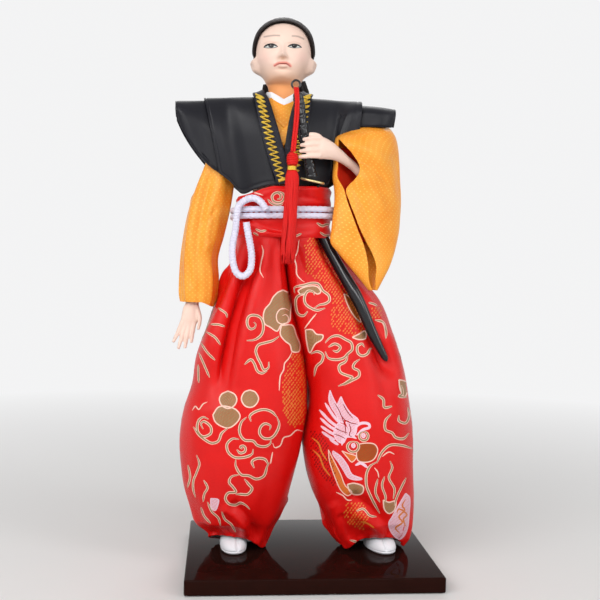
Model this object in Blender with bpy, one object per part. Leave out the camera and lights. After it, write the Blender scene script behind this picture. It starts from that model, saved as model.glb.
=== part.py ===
"""Standing samurai doll on a lacquered plinth, one closed solid for each physical piece.

Sizes are in millimetres in the tables and become metres as each mesh is stored.
The origin is the centre of the plinth's underside, the doll faces -Y and +Z is up.
The names right and left are the figure's own, so right is on the -X side.
"""

import math

import bmesh
import bpy
import numpy as np

# Driving dimensions
PLINTH_WIDTH = 132.0
PLINTH_DEPTH = 112.0
PLINTH_HEIGHT = 8.0
PLINTH_BEVEL = 0.9
GAP = 0.3
CLOTH = 1.0
LINING = 0.6
COLLAR_THICKNESS = 0.8
LEG_SIDES = 32
BODY_X = -16.0
HEAD_X = BODY_X - 1.3
HEAD_Y = 1.6
HEAD_TURN = math.radians(-5)
HAIR_THICKNESS = 1.8
NECK_RADIUS = 7.7
SASH_LOW_Z = 179.4
SASH_HIGH_Z = 206.4
SASH_HALF_WIDTH = 25.8
SASH_HALF_DEPTH = 19.5
WAIST_HALF_WIDTH = 19.2
WAIST_HALF_DEPTH = 10.0
WAIST_TOP_Z = 197.0
ANKLE_TOP_Z = 34.6
CORD_RADIUS = 1.65
LOOP_RADIUS = 1.9
WIRE_RADIUS = 1.6
HILT_RADIUS = 3.0
GUARD_RADIUS = 6.8
GUARD_THICKNESS = 1.2
SCABBARD_RADIUS = 2.8
BRAID_RADIUS = 0.5
TASSEL_RADIUS = 2.9
MM = 0.001

# Materials: colour, roughness, metallic
FINISHES = {
    "lacquer": ((0.012, 0.007, 0.006), 0.08, 0.0),
    "red_brocade": ((0.62, 0.02, 0.015), 0.42, 0.0),
    "yellow_satin": ((0.95, 0.48, 0.03), 0.4, 0.0),
    "red_lining": ((0.55, 0.012, 0.01), 0.5, 0.0),
    "black_satin": ((0.03, 0.03, 0.035), 0.35, 0.0),
    "black_velvet": ((0.008, 0.008, 0.01), 0.8, 0.0),
    "gold_braid": ((0.85, 0.6, 0.1), 0.3, 0.9),
    "white_cord": ((0.85, 0.83, 0.88), 0.7, 0.0),
    "white_cotton": ((0.9, 0.89, 0.9), 0.8, 0.0),
    "skin": ((0.88, 0.68, 0.58), 0.45, 0.0),
    "hair": ((0.01, 0.008, 0.008), 0.4, 0.0),
    "red_cord": ((0.6, 0.015, 0.012), 0.55, 0.0),
    "black_gloss": ((0.01, 0.01, 0.012), 0.15, 0.0),
    "gilt": ((0.7, 0.55, 0.25), 0.3, 1.0),
    "wire": ((0.35, 0.35, 0.36), 0.4, 1.0),
    "stuffing": ((0.8, 0.76, 0.68), 0.9, 0.0),
}


def clear_scene():
    """Removes whatever the scene holds."""
    for found in list(bpy.data.objects):
        bpy.data.objects.remove(found, do_unlink=True)


def material(name):
    """Returns the named finish as a material, making it once."""
    made = bpy.data.materials.get(name)
    if made is None:
        made = bpy.data.materials.new(name)
        made.use_nodes = True
        shader = made.node_tree.nodes["Principled BSDF"]
        colour, rough, metal = FINISHES[name]
        shader.inputs["Base Color"].default_value = (*colour, 1.0)
        shader.inputs["Roughness"].default_value = rough
        shader.inputs["Metallic"].default_value = metal
    return made


def finished(name, data, finish, helper=False):
    """Makes an object of the data, carried by the figure; a helper stays a hidden outline."""
    made = bpy.data.objects.new(name, data)
    bpy.context.scene.collection.objects.link(made)
    made.parent = bpy.data.objects["figure"]
    if helper:
        made.hide_render = True
        made.display_type = "WIRE"
    else:
        data.materials.append(material(finish))
    return made


def stored(build, name):
    """Turns a bmesh into a mesh with its faces outwards and shaded smooth."""
    bmesh.ops.recalc_face_normals(build, faces=build.faces)
    mesh = bpy.data.meshes.new(name)
    build.to_mesh(mesh)
    build.free()
    mesh.shade_smooth()
    return mesh


def smooth(x, table, column):
    """Reads a table's column at x along a curve through its rows."""
    xs = [row[0] for row in table]
    ys = [row[column] for row in table]
    if x <= xs[0]:
        return ys[0]
    if x >= xs[-1]:
        return ys[-1]
    k = max(i for i in range(len(xs) - 1) if xs[i] <= x)
    slope = []
    for i in (k, k + 1):
        low, high = max(i - 1, 0), min(i + 1, len(xs) - 1)
        slope.append((ys[high] - ys[low]) / (xs[high] - xs[low]))
    step = xs[k + 1] - xs[k]
    t = (x - xs[k]) / step
    a = (2 * t**3 - 3 * t**2 + 1) * ys[k] + (t**3 - 2 * t**2 + t) * step * slope[0]
    return a + (3 * t**2 - 2 * t**3) * ys[k + 1] + (t**3 - t**2) * step * slope[1]


def along(points, count):
    """Evenly spaced points on a smooth curve through the given ones."""
    points = np.asarray(points, float)
    reach = np.concatenate([[0], np.cumsum(np.linalg.norm(np.diff(points, axis=0), axis=1))])
    rows = [(reach[i], *points[i]) for i in range(len(points))]
    at = np.linspace(0, reach[-1], count)
    return np.array([[smooth(s, rows, 1), smooth(s, rows, 2), smooth(s, rows, 3)] for s in at])


def ramp(x, low, high):
    """Smooth step from 0 at low to 1 at high."""
    t = min(max((x - low) / (high - low), 0.0), 1.0)
    return t * t * (3 - 2 * t)


def ring_of(build, places):
    """A closed ring of edges through the given places."""
    verts = [build.verts.new([float(value) * MM for value in place]) for place in places]
    for i, vert in enumerate(verts):
        build.edges.new((vert, verts[(i + 1) % len(verts)]))
    return verts


def pulled(build, ring, places):
    """Extrudes a ring of edges and moves the new ring to its places."""
    edges = [build.edges.get((vert, ring[(i + 1) % len(ring)])) for i, vert in enumerate(ring)]
    made = set(bmesh.ops.extrude_edge_only(build, edges=edges)["geom"])
    new = [next(edge.other_vert(vert) for edge in vert.link_edges if edge.other_vert(vert) in made)
           for vert in ring]
    for vert, place in zip(new, places):
        vert.co = [float(value) * MM for value in place]
    return new


def loft(name, rings, finish, helper=False):
    """Solid made by extruding one ring through the others, with a fan at each end."""
    build = bmesh.new()
    ring = first = ring_of(build, rings[0])
    for places in rings[1:]:
        ring = pulled(build, ring, places)
    caps = [build.faces.new(first), build.faces.new(ring)]
    bmesh.ops.poke(build, faces=caps)
    return finished(name, stored(build, name), finish, helper)


def shell(name, outer, inner, finish):
    """Tube with a wall, open at both ends: up the outer rings, over the rim and down the inner ones."""
    build = bmesh.new()
    ring = first = ring_of(build, outer[0])
    for places in [*outer[1:], *reversed(inner), outer[0]]:
        ring = pulled(build, ring, places)
    bmesh.ops.weld_verts(build, targetmap=dict(zip(ring, first)))
    return finished(name, stored(build, name), finish)


def walled(made, thickness, offset):
    """Gives cloth its thickness: offset -1 keeps the outer face in place, 0 the middle."""
    wall = made.modifiers.new("wall", "SOLIDIFY")
    wall.thickness = thickness * MM
    wall.offset = offset
    wall.use_rim = True


def sleeve(name, rings, thickness, finish, closed_top=False):
    """Cloth tube through rings from its lower edge up, with a wall inside its outer face."""
    build = bmesh.new()
    ring = ring_of(build, rings[0])
    for places in rings[1:]:
        ring = pulled(build, ring, places)
    if closed_top:
        bmesh.ops.poke(build, faces=[build.faces.new(ring)])
    walled(finished(name, stored(build, name), finish), thickness, -1.0)


def sheet(name, places, thickness, finish):
    """Cloth over rows of places: a grid bent to them and given its thickness."""
    rows, columns = len(places), len(places[0])
    build = bmesh.new()
    bmesh.ops.create_grid(build, x_segments=columns - 1, y_segments=rows - 1, size=1.0)
    build.verts.ensure_lookup_table()
    for i, row in enumerate(places):
        for j, place in enumerate(row):
            build.verts[i * columns + j].co = [float(value) * MM for value in place]
    walled(finished(name, stored(build, name), finish), thickness, 0.0)


def tube_rings(path, wide, deep=None, sides=8, side=(1, 0, 0), closed=False):
    """Rings across a path, elliptical where deep differs from wide."""
    path = np.asarray(path, float)
    count = len(path)
    wide = np.broadcast_to(np.asarray(wide, float), (count,))
    deep = wide if deep is None else np.broadcast_to(np.asarray(deep, float), (count,))
    if closed:
        tangent = np.roll(path, -1, axis=0) - np.roll(path, 1, axis=0)
    else:
        tangent = np.gradient(path, axis=0)
    tangent /= np.linalg.norm(tangent, axis=1, keepdims=True)
    reference = np.asarray(side, float)
    rings = []
    for i in range(count):
        across = reference - tangent[i] * np.dot(reference, tangent[i])
        across /= np.linalg.norm(across)
        if not closed:
            reference = across
        other = np.cross(tangent[i], across)
        ring = []
        for j in range(sides):
            angle = 2 * math.pi * (j + 0.5) / sides
            ring.append(path[i] + across * wide[i] * math.cos(angle) + other * deep[i] * math.sin(angle))
        rings.append(ring)
    return np.array(rings)


def tube(name, path, wide, finish, deep=None, sides=8, side=(1, 0, 0), helper=False):
    """Solid rod along an open path."""
    return loft(name, tube_rings(path, wide, deep, sides, side), finish, helper)


def rod(name, path, radius, finish, resolution=2, closed=False):
    """Round cord or wire: a poly curve with a bevel and filled caps."""
    curve = bpy.data.curves.new(name, "CURVE")
    curve.dimensions = "3D"
    curve.bevel_depth = radius * MM
    curve.bevel_resolution = resolution
    curve.use_fill_caps = True
    spline = curve.splines.new("POLY")
    spline.points.add(len(path) - 1)
    for point, place in zip(spline.points, path):
        point.co = (*[float(value) * MM for value in place], 1.0)
    spline.use_cyclic_u = closed
    spline.use_smooth = True
    return finished(name, curve, finish)


def disc(name, centre, radius, thickness, finish, tilt=(0.0, 0.0, 0.0), squash=1.0):
    """Round plate with softened edges, from a cylinder and a Bevel."""
    build = bmesh.new()
    bmesh.ops.create_cone(build, cap_ends=True, segments=20, radius1=radius * MM, radius2=radius * MM,
                          depth=thickness * MM)
    for vert in build.verts:
        vert.co.y *= squash
    mesh = bpy.data.meshes.new(name)
    build.to_mesh(mesh)
    build.free()
    made = finished(name, mesh, finish)
    made.location = [value * MM for value in centre]
    made.rotation_euler = [math.radians(value) for value in tilt]
    edge = made.modifiers.new("edge", "BEVEL")
    edge.width = thickness * 0.25 * MM
    edge.segments = 1
    edge.limit_method = "ANGLE"


def oval(centre_x, centre_y, z, half_x, half_y, sides, power=2.0):
    """One closed ring, rounder or squarer with its power."""
    ring = []
    for j in range(sides):
        angle = 2 * math.pi * j / sides
        c, s = math.cos(angle), math.sin(angle)
        x = math.copysign(abs(c) ** (2 / power), c) * half_x
        y = math.copysign(abs(s) ** (2 / power), s) * half_y
        ring.append((centre_x + x, centre_y + y, z))
    return ring


def turned(ring, x, y, turn):
    """The ring turned about +Z and moved to x, y."""
    c, s = math.cos(turn), math.sin(turn)
    return [(x + px * c - py * s, y + px * s + py * c, z) for px, py, z in ring]


def cut(target, cutter, name):
    """Takes the cutter's shape out of the target."""
    step = target.modifiers.new(name, "BOOLEAN")
    step.operation = "DIFFERENCE"
    step.solver = "EXACT"
    step.object = cutter


def join(target, other, name):
    """Joins a helper's shape to the target."""
    step = target.modifiers.new(name, "BOOLEAN")
    step.operation = "UNION"
    step.solver = "EXACT"
    step.object = other


# Hakama: height, outer x, inner x, half depth, centre y
RIGHT_LEG = [
    (9.0, -54.6, -22.4, 14.0, 0.5), (13.0, -55.2, -21.6, 15.0, 0.5), (19.7, -60.4, -18.9, 17.5, 0.5),
    (25.0, -62.8, -15.8, 20.5, 0.4), (31.0, -64.8, -13.2, 23.0, 0.3), (42.5, -68.7, -9.8, 26.5, 0.0),
    (54.0, -70.4, -6.8, 28.5, 0.0), (68.7, -70.9, -3.8, 29.5, 0.0), (85.0, -68.9, -1.8, 29.5, 0.0),
    (100.0, -64.4, -1.6, 28.5, 0.0), (115.0, -62.3, -4.2, 27.5, 0.0), (132.0, -56.6, -8.9, 25.5, 0.0),
    (145.0, -50.9, -12.0, 23.5, 0.0), (160.0, -46.2, -14.4, 21.0, 0.0), (172.0, -42.8, -15.6, 19.2, 0.0),
    (178.7, -41.0, -16.2, 18.4, 0.0),
]
LEFT_LEG = [
    (9.0, 54.6, 16.6, 14.5, -1.5), (13.0, 56.8, 14.4, 15.5, -1.5), (19.7, 58.4, 11.4, 18.0, -1.0),
    (25.0, 58.8, 9.2, 20.5, -0.6), (31.0, 59.0, 6.6, 23.0, -0.3), (42.5, 59.2, 1.6, 26.5, 0.0),
    (54.0, 59.2, -1.6, 28.5, 0.0), (68.7, 58.4, -3.3, 29.5, 0.0), (85.0, 56.5, -1.4, 29.5, 0.0),
    (100.0, 54.2, -1.2, 28.5, 0.0), (115.0, 50.4, -3.8, 27.5, 0.0), (132.0, 44.4, -8.5, 25.5, 0.0),
    (145.0, 38.0, -11.6, 23.5, 0.0), (160.0, 25.6, -14.0, 21.0, 0.0), (172.0, 15.4, -15.2, 19.2, 0.0),
    (178.7, 9.2, -15.8, 18.4, 0.0),
]
# Hem height by angle in degrees, 0 on +X and 270 at the front
RIGHT_HEM = [(0, 9.6), (60, 9.0), (120, 9.2), (170, 12.5), (200, 15.5), (230, 17.6), (262, 17.4), (285, 16.4),
             (305, 13.0), (325, 9.8), (360, 9.6)]
LEFT_HEM = [(0, 9.6), (60, 9.0), (120, 9.0), (170, 11.0), (200, 11.5), (222, 10.0), (246, 15.6), (266, 17.2),
            (292, 17.4), (316, 14.8), (340, 9.8), (360, 9.6)]
# Deep pleats on the front: height, x, depth
RIGHT_PLEAT = [(88.0, -50.0, 0.0), (100.0, -47.5, 2.4), (113.0, -44.6, 4.4), (132.0, -41.2, 4.6),
               (151.0, -35.6, 3.8), (168.0, -31.0, 2.6), (178.7, -28.2, 1.0)]
LEFT_PLEAT = [(96.0, 44.5, 0.0), (104.0, 42.8, 1.6), (113.7, 39.6, 6.0), (128.0, 31.9, 6.4),
              (146.6, 23.6, 7.4), (164.6, 13.4, 8.6), (172.0, 10.2, 10.4), (178.7, 7.8, 11.0)]


def leg_point(right, z, angle):
    """Point on one trouser leg's cloth at a height and an angle."""
    table = RIGHT_LEG if right else LEFT_LEG
    hem = RIGHT_HEM if right else LEFT_HEM
    pleat = RIGHT_PLEAT if right else LEFT_PLEAT
    outer, inner = smooth(z, table, 1), smooth(z, table, 2)
    half_y, centre_y = smooth(z, table, 3), smooth(z, table, 4)
    centre_x, half_x = (outer + inner) / 2, abs(outer - inner) / 2
    c, s = math.cos(angle), math.sin(angle)
    to_inner = c * (inner - centre_x) > 0
    power = 2.15 + (1.5 * ramp(z, 60, 150) if to_inner else 0.0)
    x = math.copysign(abs(c) ** (2 / power), c)
    y = math.copysign(abs(s) ** (2 / power), s)
    px, py = half_x * x, half_y * y
    length = math.hypot(px, py)
    gather = (1 - ramp(z, 12, 48)) * ramp(z, 8, 14)
    fold = gather * math.cos(9 * angle + (0.6 if right else 2.1))
    fold += 0.9 * ramp(z, 120, 160) * (1 - ramp(z, 170, 179)) * math.cos(8 * angle + 0.4)
    fold *= 0.15 if to_inner and z > 50 and abs(s) < 0.75 else 1.0
    if s < -0.15:
        width = 4.2 if right else 5.4
        away = (centre_x + px - smooth(z, pleat, 1)) / width
        fold -= smooth(z, pleat, 2) * math.exp(-away * away) * ramp(-s, 0.15, 0.4)
    scale = (length + fold) / length
    lift = (smooth(math.degrees(angle) % 360, hem, 1) - 9.0) * max(0.0, 1 - (z - 9.0) / 16.0)
    return centre_x + px * scale, centre_y + py * scale, z + lift


def make_leg(name, right, foot_x, foot_y, foot_turn):
    """One padded trouser leg, closed at the waist, with a pocket in its hem for the foot."""
    levels = [9.0, 13.0, 19.0, 27.0, 37.0, 52.0, 70.0, 88.0, 103.0, 117.0, 131.0, 145.0, 158.0, 169.0, 178.7]
    angles = [2 * math.pi * j / LEG_SIDES for j in range(LEG_SIDES)]
    outer = [[leg_point(right, z, a) for a in angles] for z in levels]
    half = (WAIST_HALF_WIDTH - GAP) / 2
    centre = BODY_X + (-1 if right else 1) * (half + GAP / 2)
    for z in (179.0, WAIST_TOP_Z):
        outer.append(oval(centre, 0, z, half, WAIST_HALF_DEPTH, LEG_SIDES, 2.6))
    pocket = []
    rows = ((9.0, 2.6, 9.6, 11.8), (20.4, 4.2, 7.8, 9.8), (ANKLE_TOP_Z, 6.6, 5.2, 5.6))
    for z, shift, half_x, half_y in rows:
        ring = turned(oval(0, shift, z, half_x, half_y, LEG_SIDES, 2.2), foot_x, foot_y, foot_turn)
        if not pocket:
            ring = [(x, y, hem[2] + 1.2) for (x, y, _), hem in zip(ring, outer[0])]
        pocket.append(ring)
    loft(name, [*reversed(pocket), *outer], "red_brocade")


def make_plinth():
    """The lacquered board with its small edge bevel."""
    build = bmesh.new()
    bmesh.ops.create_cube(build, size=MM)
    bmesh.ops.scale(build, vec=(PLINTH_WIDTH, PLINTH_DEPTH, PLINTH_HEIGHT), verts=build.verts)
    mesh = bpy.data.meshes.new("base_plinth")
    build.to_mesh(mesh)
    build.free()
    mesh.materials.append(material("lacquer"))
    made = bpy.data.objects.new("base_plinth", mesh)
    made.location = (0, 0, PLINTH_HEIGHT / 2 * MM)
    bpy.context.scene.collection.objects.link(made)
    edge = made.modifiers.new("edge", "BEVEL")
    edge.width = PLINTH_BEVEL * MM
    edge.segments = 1


def make_figure():
    """The empty that carries the figure, whose tables are drawn over a board 8 mm high."""
    drawn_over = 8.0
    figure = bpy.data.objects.new("figure", None)
    figure.location = (0, 0, (PLINTH_HEIGHT - drawn_over) * MM)
    bpy.context.scene.collection.objects.link(figure)


# Feet: x, y and the turn outwards
RIGHT_FOOT = (-40.9, -3.4, math.radians(3))
LEFT_FOOT = (40.0, -6.0, math.radians(16))


def make_foot(name, x, y, turn):
    """A white split-toe sock with its ankle."""
    rows = [(8.3, 0.0, 6.2, 12.2), (9.4, 0.0, 7.1, 13.2), (12.0, 0.2, 7.3, 13.0), (14.4, 1.2, 6.9, 11.4),
            (16.4, 2.8, 6.2, 9.0), (19.0, 4.4, 5.4, 6.8), (24.0, 5.6, 4.6, 5.0),
            (ANKLE_TOP_Z - GAP, 6.6, 4.3, 4.6)]
    rings = [turned(oval(0, shift, z, half_x, half_y, 16, 2.3), x, y, turn)
             for z, shift, half_x, half_y in rows]
    loft(name, rings, "white_cotton")


def make_body():
    """The stuffed trunk."""
    waist = (WAIST_HALF_WIDTH - 2.2, WAIST_HALF_DEPTH - 0.2)
    rows = [(WAIST_TOP_Z + GAP, 0, *waist), (SASH_HIGH_Z + 0.4, 0, *waist), (214.0, -0.5, 17.4, 11.4),
            (230.0, -1.0, 19.6, 12.2), (242.0, -1.3, 21.0, 11.4), (247.5, -1.3, 17.0, 9.0),
            (250.6, -1.3, 8.0, 7.0)]
    loft("torso_core", [oval(BODY_X + x, 0, z, a, b, 20, 2.2) for z, x, a, b in rows], "stuffing")


# Vest halves: share of the way out, top x, top z, front x, front z, front y, back x, back z
RIGHT_PANEL = [
    (0.0, -30.4, 255.4, -19.6, 207.2, -16.6, -19.0, 207.4),
    (0.2, -36.5, 255.3, -25.4, 206.8, -16.4, -25.0, 207.2),
    (0.42, -43.5, 255.0, -32.6, 204.6, -14.4, -32.0, 206.6),
    (0.6, -49.5, 254.7, -39.2, 202.4, -10.8, -39.0, 204.6),
    (0.8, -55.0, 254.4, -45.4, 208.6, -11.0, -46.0, 210.0),
    (1.0, -60.2, 254.2, -51.6, 213.2, -11.4, -52.0, 214.0),
]
RIGHT_WING = [
    (0.0, -57.0, 252.9, -49.8, 212.6, -9.6, -50.0, 213.0),
    (0.3, -62.6, 252.7, -56.6, 216.8, -10.4, -57.0, 217.0),
    (0.6, -68.4, 252.4, -64.4, 224.8, -10.6, -65.0, 226.0),
    (0.82, -72.4, 252.2, -70.6, 234.6, -9.6, -71.0, 235.0),
    (1.0, -75.5, 252.0, -74.8, 243.2, -7.4, -75.0, 243.0),
]
LEFT_PANEL = [
    (0.0, -4.2, 255.6, -14.6, 207.2, -16.3, -15.0, 207.4), (0.2, 1.6, 255.5, -8.0, 207.2, -16.0, -9.0, 207.4),
    (0.42, 7.4, 255.3, 0.6, 207.4, -14.6, 0.0, 207.4), (0.6, 12.0, 255.0, 7.2, 208.2, -11.4, 6.4, 206.4),
    (0.74, 16.0, 254.8, 8.0, 224.0, -12.4, 12.0, 209.6), (0.86, 20.0, 254.6, 9.4, 238.2, -12.4, 15.6, 212.4),
    (0.93, 22.6, 254.5, 15.5, 241.4, -13.8, 18.0, 214.4), (1.0, 25.2, 254.4, 22.4, 241.6, -14.0, 20.0, 216.4),
]
LEFT_WING = [
    (0.0, 22.8, 252.4, 17.0, 241.6, -11.0, 18.0, 215.6), (0.3, 28.4, 252.2, 25.0, 241.7, -12.2, 25.0, 221.0),
    (0.6, 34.6, 251.8, 33.0, 241.8, -12.0, 33.0, 228.0), (0.82, 39.6, 251.4, 38.8, 241.9, -10.2, 39.0, 236.0),
    (1.0, 44.2, 251.0, 42.6, 242.2, -7.8, 43.0, 243.0),
]


def vest_point(rows, u, v, lift=0.0):
    """Point on one vest piece: u runs outwards, v from -1 at the front hem over the shoulder to 1 behind."""
    top_x, top_z = smooth(u, rows, 1), smooth(u, rows, 2)
    side = -1 if v < 0 else 1
    if side < 0:
        end_x, end_z, end_y = smooth(u, rows, 3), smooth(u, rows, 4), smooth(u, rows, 5)
    else:
        end_x, end_z = smooth(u, rows, 6), smooth(u, rows, 7)
        end_y = -smooth(u, rows, 5) + 0.6
    t = abs(v)
    bulge = math.sin(math.pi * min(t, 1.0)) * 2.0 * ramp(u, 0.2, 0.8)
    turn = math.sqrt(max(0.0, 1 - (1 - min(t / 0.42, 1.0)) ** 2))
    y = end_y * turn * (0.86 + 0.14 * t) + side * bulge * 0.5
    x = top_x + (end_x - top_x) * t ** 1.15
    z = top_z + (end_z - top_z) * t ** 1.25
    return x, y, z + lift


def make_vest():
    """The stiff black over-vest: an inner panel and a shoulder wing on each side."""
    steps = [-1, -0.75, -0.5, -0.3, -0.15, -0.05, 0.05, 0.15, 0.3, 0.5, 0.75, 1]
    for name, rows in (("right_vest_panel", RIGHT_PANEL), ("right_vest_wing", RIGHT_WING),
                       ("left_vest_panel", LEFT_PANEL), ("left_vest_wing", LEFT_WING)):
        columns = 7 if "panel" in name else 5
        grid = [[vest_point(rows, i / (columns - 1), v) for v in steps] for i in range(columns)]
        sheet(name, grid, CLOTH, "black_satin")


# Lapels: inner edge and outer edge, from the waist up and round the neck
RIGHT_LAPEL = [
    ((-12.2, -20.2, 207.4), (-20.8, -20.0, 207.2)), ((-15.0, -20.2, 217.0), (-24.4, -19.8, 217.0)),
    ((-18.4, -19.4, 229.0), (-28.4, -19.0, 229.6)), ((-22.2, -17.2, 242.0), (-31.4, -16.8, 243.0)),
    ((-25.6, -13.0, 253.0), (-33.4, -12.6, 253.4)), ((-28.2, -5.0, 259.0), (-34.0, -4.6, 257.4)),
    ((-27.6, 4.0, 260.4), (-33.0, 7.0, 257.4)), ((-23.4, 11.2, 260.4), (-27.6, 15.0, 257.0)),
    ((-17.5, 12.6, 260.0), (-17.5, 17.2, 256.6)),
]
LEFT_LAPEL = [
    ((-20.0, -17.9, 207.4), (-9.8, -18.0, 207.4)), ((-18.6, -17.9, 217.0), (-7.4, -18.0, 218.0)),
    ((-16.8, -17.6, 229.0), (-5.2, -17.6, 230.0)), ((-14.8, -16.8, 242.0), (-3.9, -16.4, 243.0)),
    ((-11.6, -13.0, 253.0), (-2.6, -12.6, 253.8)), ((-7.2, -5.0, 259.0), (-1.0, -4.6, 257.6)),
    ((-7.4, 4.0, 260.4), (-2.0, 7.0, 257.4)), ((-11.4, 11.2, 260.4), (-7.4, 15.0, 257.0)),
    ((-17.1, 12.6, 260.0), (-17.1, 17.2, 256.6)),
]


def lapel_grid(rows, across, count):
    """Grid over a lapel, from its inner edge to its outer one."""
    inner = along([row[0] for row in rows], count)
    outer = along([row[1] for row in rows], count)
    return [[inner[i] * (1 - j / (across - 1)) + outer[i] * j / (across - 1) for j in range(across)]
            for i in range(count)]


def zigzag(rows, share, low, high, teeth, lift):
    """Path of a zigzag braid along part of a lapel."""
    grid = np.array(lapel_grid(rows, 21, 61))
    du, dv = np.gradient(grid, axis=0), np.gradient(grid, axis=1)
    normal = np.cross(du, dv)
    normal /= np.linalg.norm(normal, axis=2, keepdims=True)
    if normal[10, 10, 1] > 0:
        normal = -normal
    path = []
    for k in range(teeth * 2 + 1):
        i = int(round((low + (high - low) * k / (teeth * 2)) * 60))
        j = int(round((share + (0.13 if k % 2 else -0.13)) * 20))
        path.append(grid[i, j] + normal[i, j] * lift)
    return path


def make_lapels():
    """The dark collar bands with their gold zigzag braid."""
    sheet("right_lapel", lapel_grid(RIGHT_LAPEL, 2, 13), CLOTH, "black_velvet")
    sheet("left_lapel", lapel_grid(LEFT_LAPEL, 2, 13), CLOTH, "black_velvet")
    lift = CLOTH / 2 + BRAID_RADIUS + GAP
    rod("right_lapel_braid", zigzag(RIGHT_LAPEL, 0.66, 0.03, 0.62, 15, lift), BRAID_RADIUS, "gold_braid", 0)
    rod("left_lapel_braid", zigzag(LEFT_LAPEL, 0.78, 0.04, 0.62, 15, lift), BRAID_RADIUS, "gold_braid", 0)


def make_kimono():
    """The yellow bodice and the white collar under it."""
    rows = [(SASH_HIGH_Z + 1.2, -0.4, 0.4, 19.0, 13.6), (224.0, -1.0, 0.4, 21.4, 14.2),
            (240.0, -1.3, 0.5, 23.0, 13.8), (247.0, -1.3, 0.9, 21.0, 12.8), (251.5, -1.3, 1.3, 16.0, 11.9),
            (254.6, -1.3, 1.6, 11.3, 10.9)]
    rings = [oval(BODY_X + x, y, z, a, b, 20, 2.2) for z, x, y, a, b in rows]
    sleeve("kimono_bodice", rings, CLOTH, "yellow_satin")
    rings = []
    for z, spread in ((252.2, 0.7), (255.0, 0.8), (258.4, 1.0)):
        dip = 2.2 * (z - 252.2) / 6.2
        radius = NECK_RADIUS + spread + COLLAR_THICKNESS
        rings.append([(x, y, h - dip * ramp(-y, 2, 8))
                      for x, y, h in oval(HEAD_X, HEAD_Y, z, radius, radius, 20)])
    sleeve("under_collar", rings, COLLAR_THICKNESS, "white_cotton")


# Hairline: degrees round from the face, degrees above the head's middle
HAIRLINE = [(0, 43), (30, 38), (55, 18), (75, -6), (90, -10), (100, -12), (116, -32), (140, -44), (180, -50)]
# Head: height, half width, front reach, back reach
HEAD_ROWS = [
    (251.2, NECK_RADIUS, NECK_RADIUS - 0.4, NECK_RADIUS),
    (257.0, NECK_RADIUS, NECK_RADIUS - 0.4, NECK_RADIUS),
    (262.0, NECK_RADIUS + 0.7, NECK_RADIUS + 0.5, NECK_RADIUS + 0.9), (263.6, 9.4, 11.0, 9.4),
    (265.0, 10.6, 13.0, 10.4), (267.4, 12.2, 14.4, 12.2), (270.0, 13.4, 15.0, 13.8),
    (272.6, 14.2, 15.4, 15.0),
    (275.2, 14.7, 15.6, 15.8), (278.0, 15.0, 15.4, 16.4), (281.0, 15.1, 15.2, 16.7),
    (284.0, 14.9, 15.2, 16.5),
    (287.0, 14.3, 14.6, 15.9), (290.0, 13.1, 13.2, 14.6), (292.8, 11.1, 11.0, 12.4), (295.0, 8.4, 8.2, 9.4),
    (296.4, 5.2, 5.0, 5.8),
]


def bump(x, z, at_x, at_z, wide, high):
    """Round bump used to shape the face."""
    return math.exp(-((x - at_x) / wide) ** 2 - ((z - at_z) / high) ** 2)


def head_point(z, angle):
    """Point on the skin at a height and an angle, 270 degrees being the face."""
    half_x, front, back = smooth(z, HEAD_ROWS, 1), smooth(z, HEAD_ROWS, 2), smooth(z, HEAD_ROWS, 3)
    c, s = math.cos(angle), math.sin(angle)
    x = half_x * c
    y = (front if s < 0 else back) * s
    if s < 0:
        push = 2.6 * bump(x, z, 0, 276.2, 1.9, 1.6) + 1.1 * bump(x, z, 0, 279.4, 1.5, 3.0)
        push += 0.7 * bump(x, z, 0, 271.3, 4.2, 1.4) + 0.8 * bump(x, z, 0, 265.8, 3.6, 1.8)
        push -= 0.9 * (bump(x, z, -6.4, 281.4, 3.4, 1.9) + bump(x, z, 6.4, 281.4, 3.4, 1.9))
        push += 0.5 * (bump(x, z, -8.6, 274.0, 3.6, 3.6) + bump(x, z, 8.6, 274.0, 3.6, 3.6))
        y -= push * ramp(-s, 0.3, 0.7)
    beside = math.exp(-((abs(c) - 1.0) / 0.045) ** 2) if -0.35 < s < 0.35 else 0
    ear = beside * math.exp(-abs((z - 272.3) / 4.1) ** 3)
    x += math.copysign(2.7 * ear, c)
    y += HEAD_Y + 0.8 * ear
    return x, y, z


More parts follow.
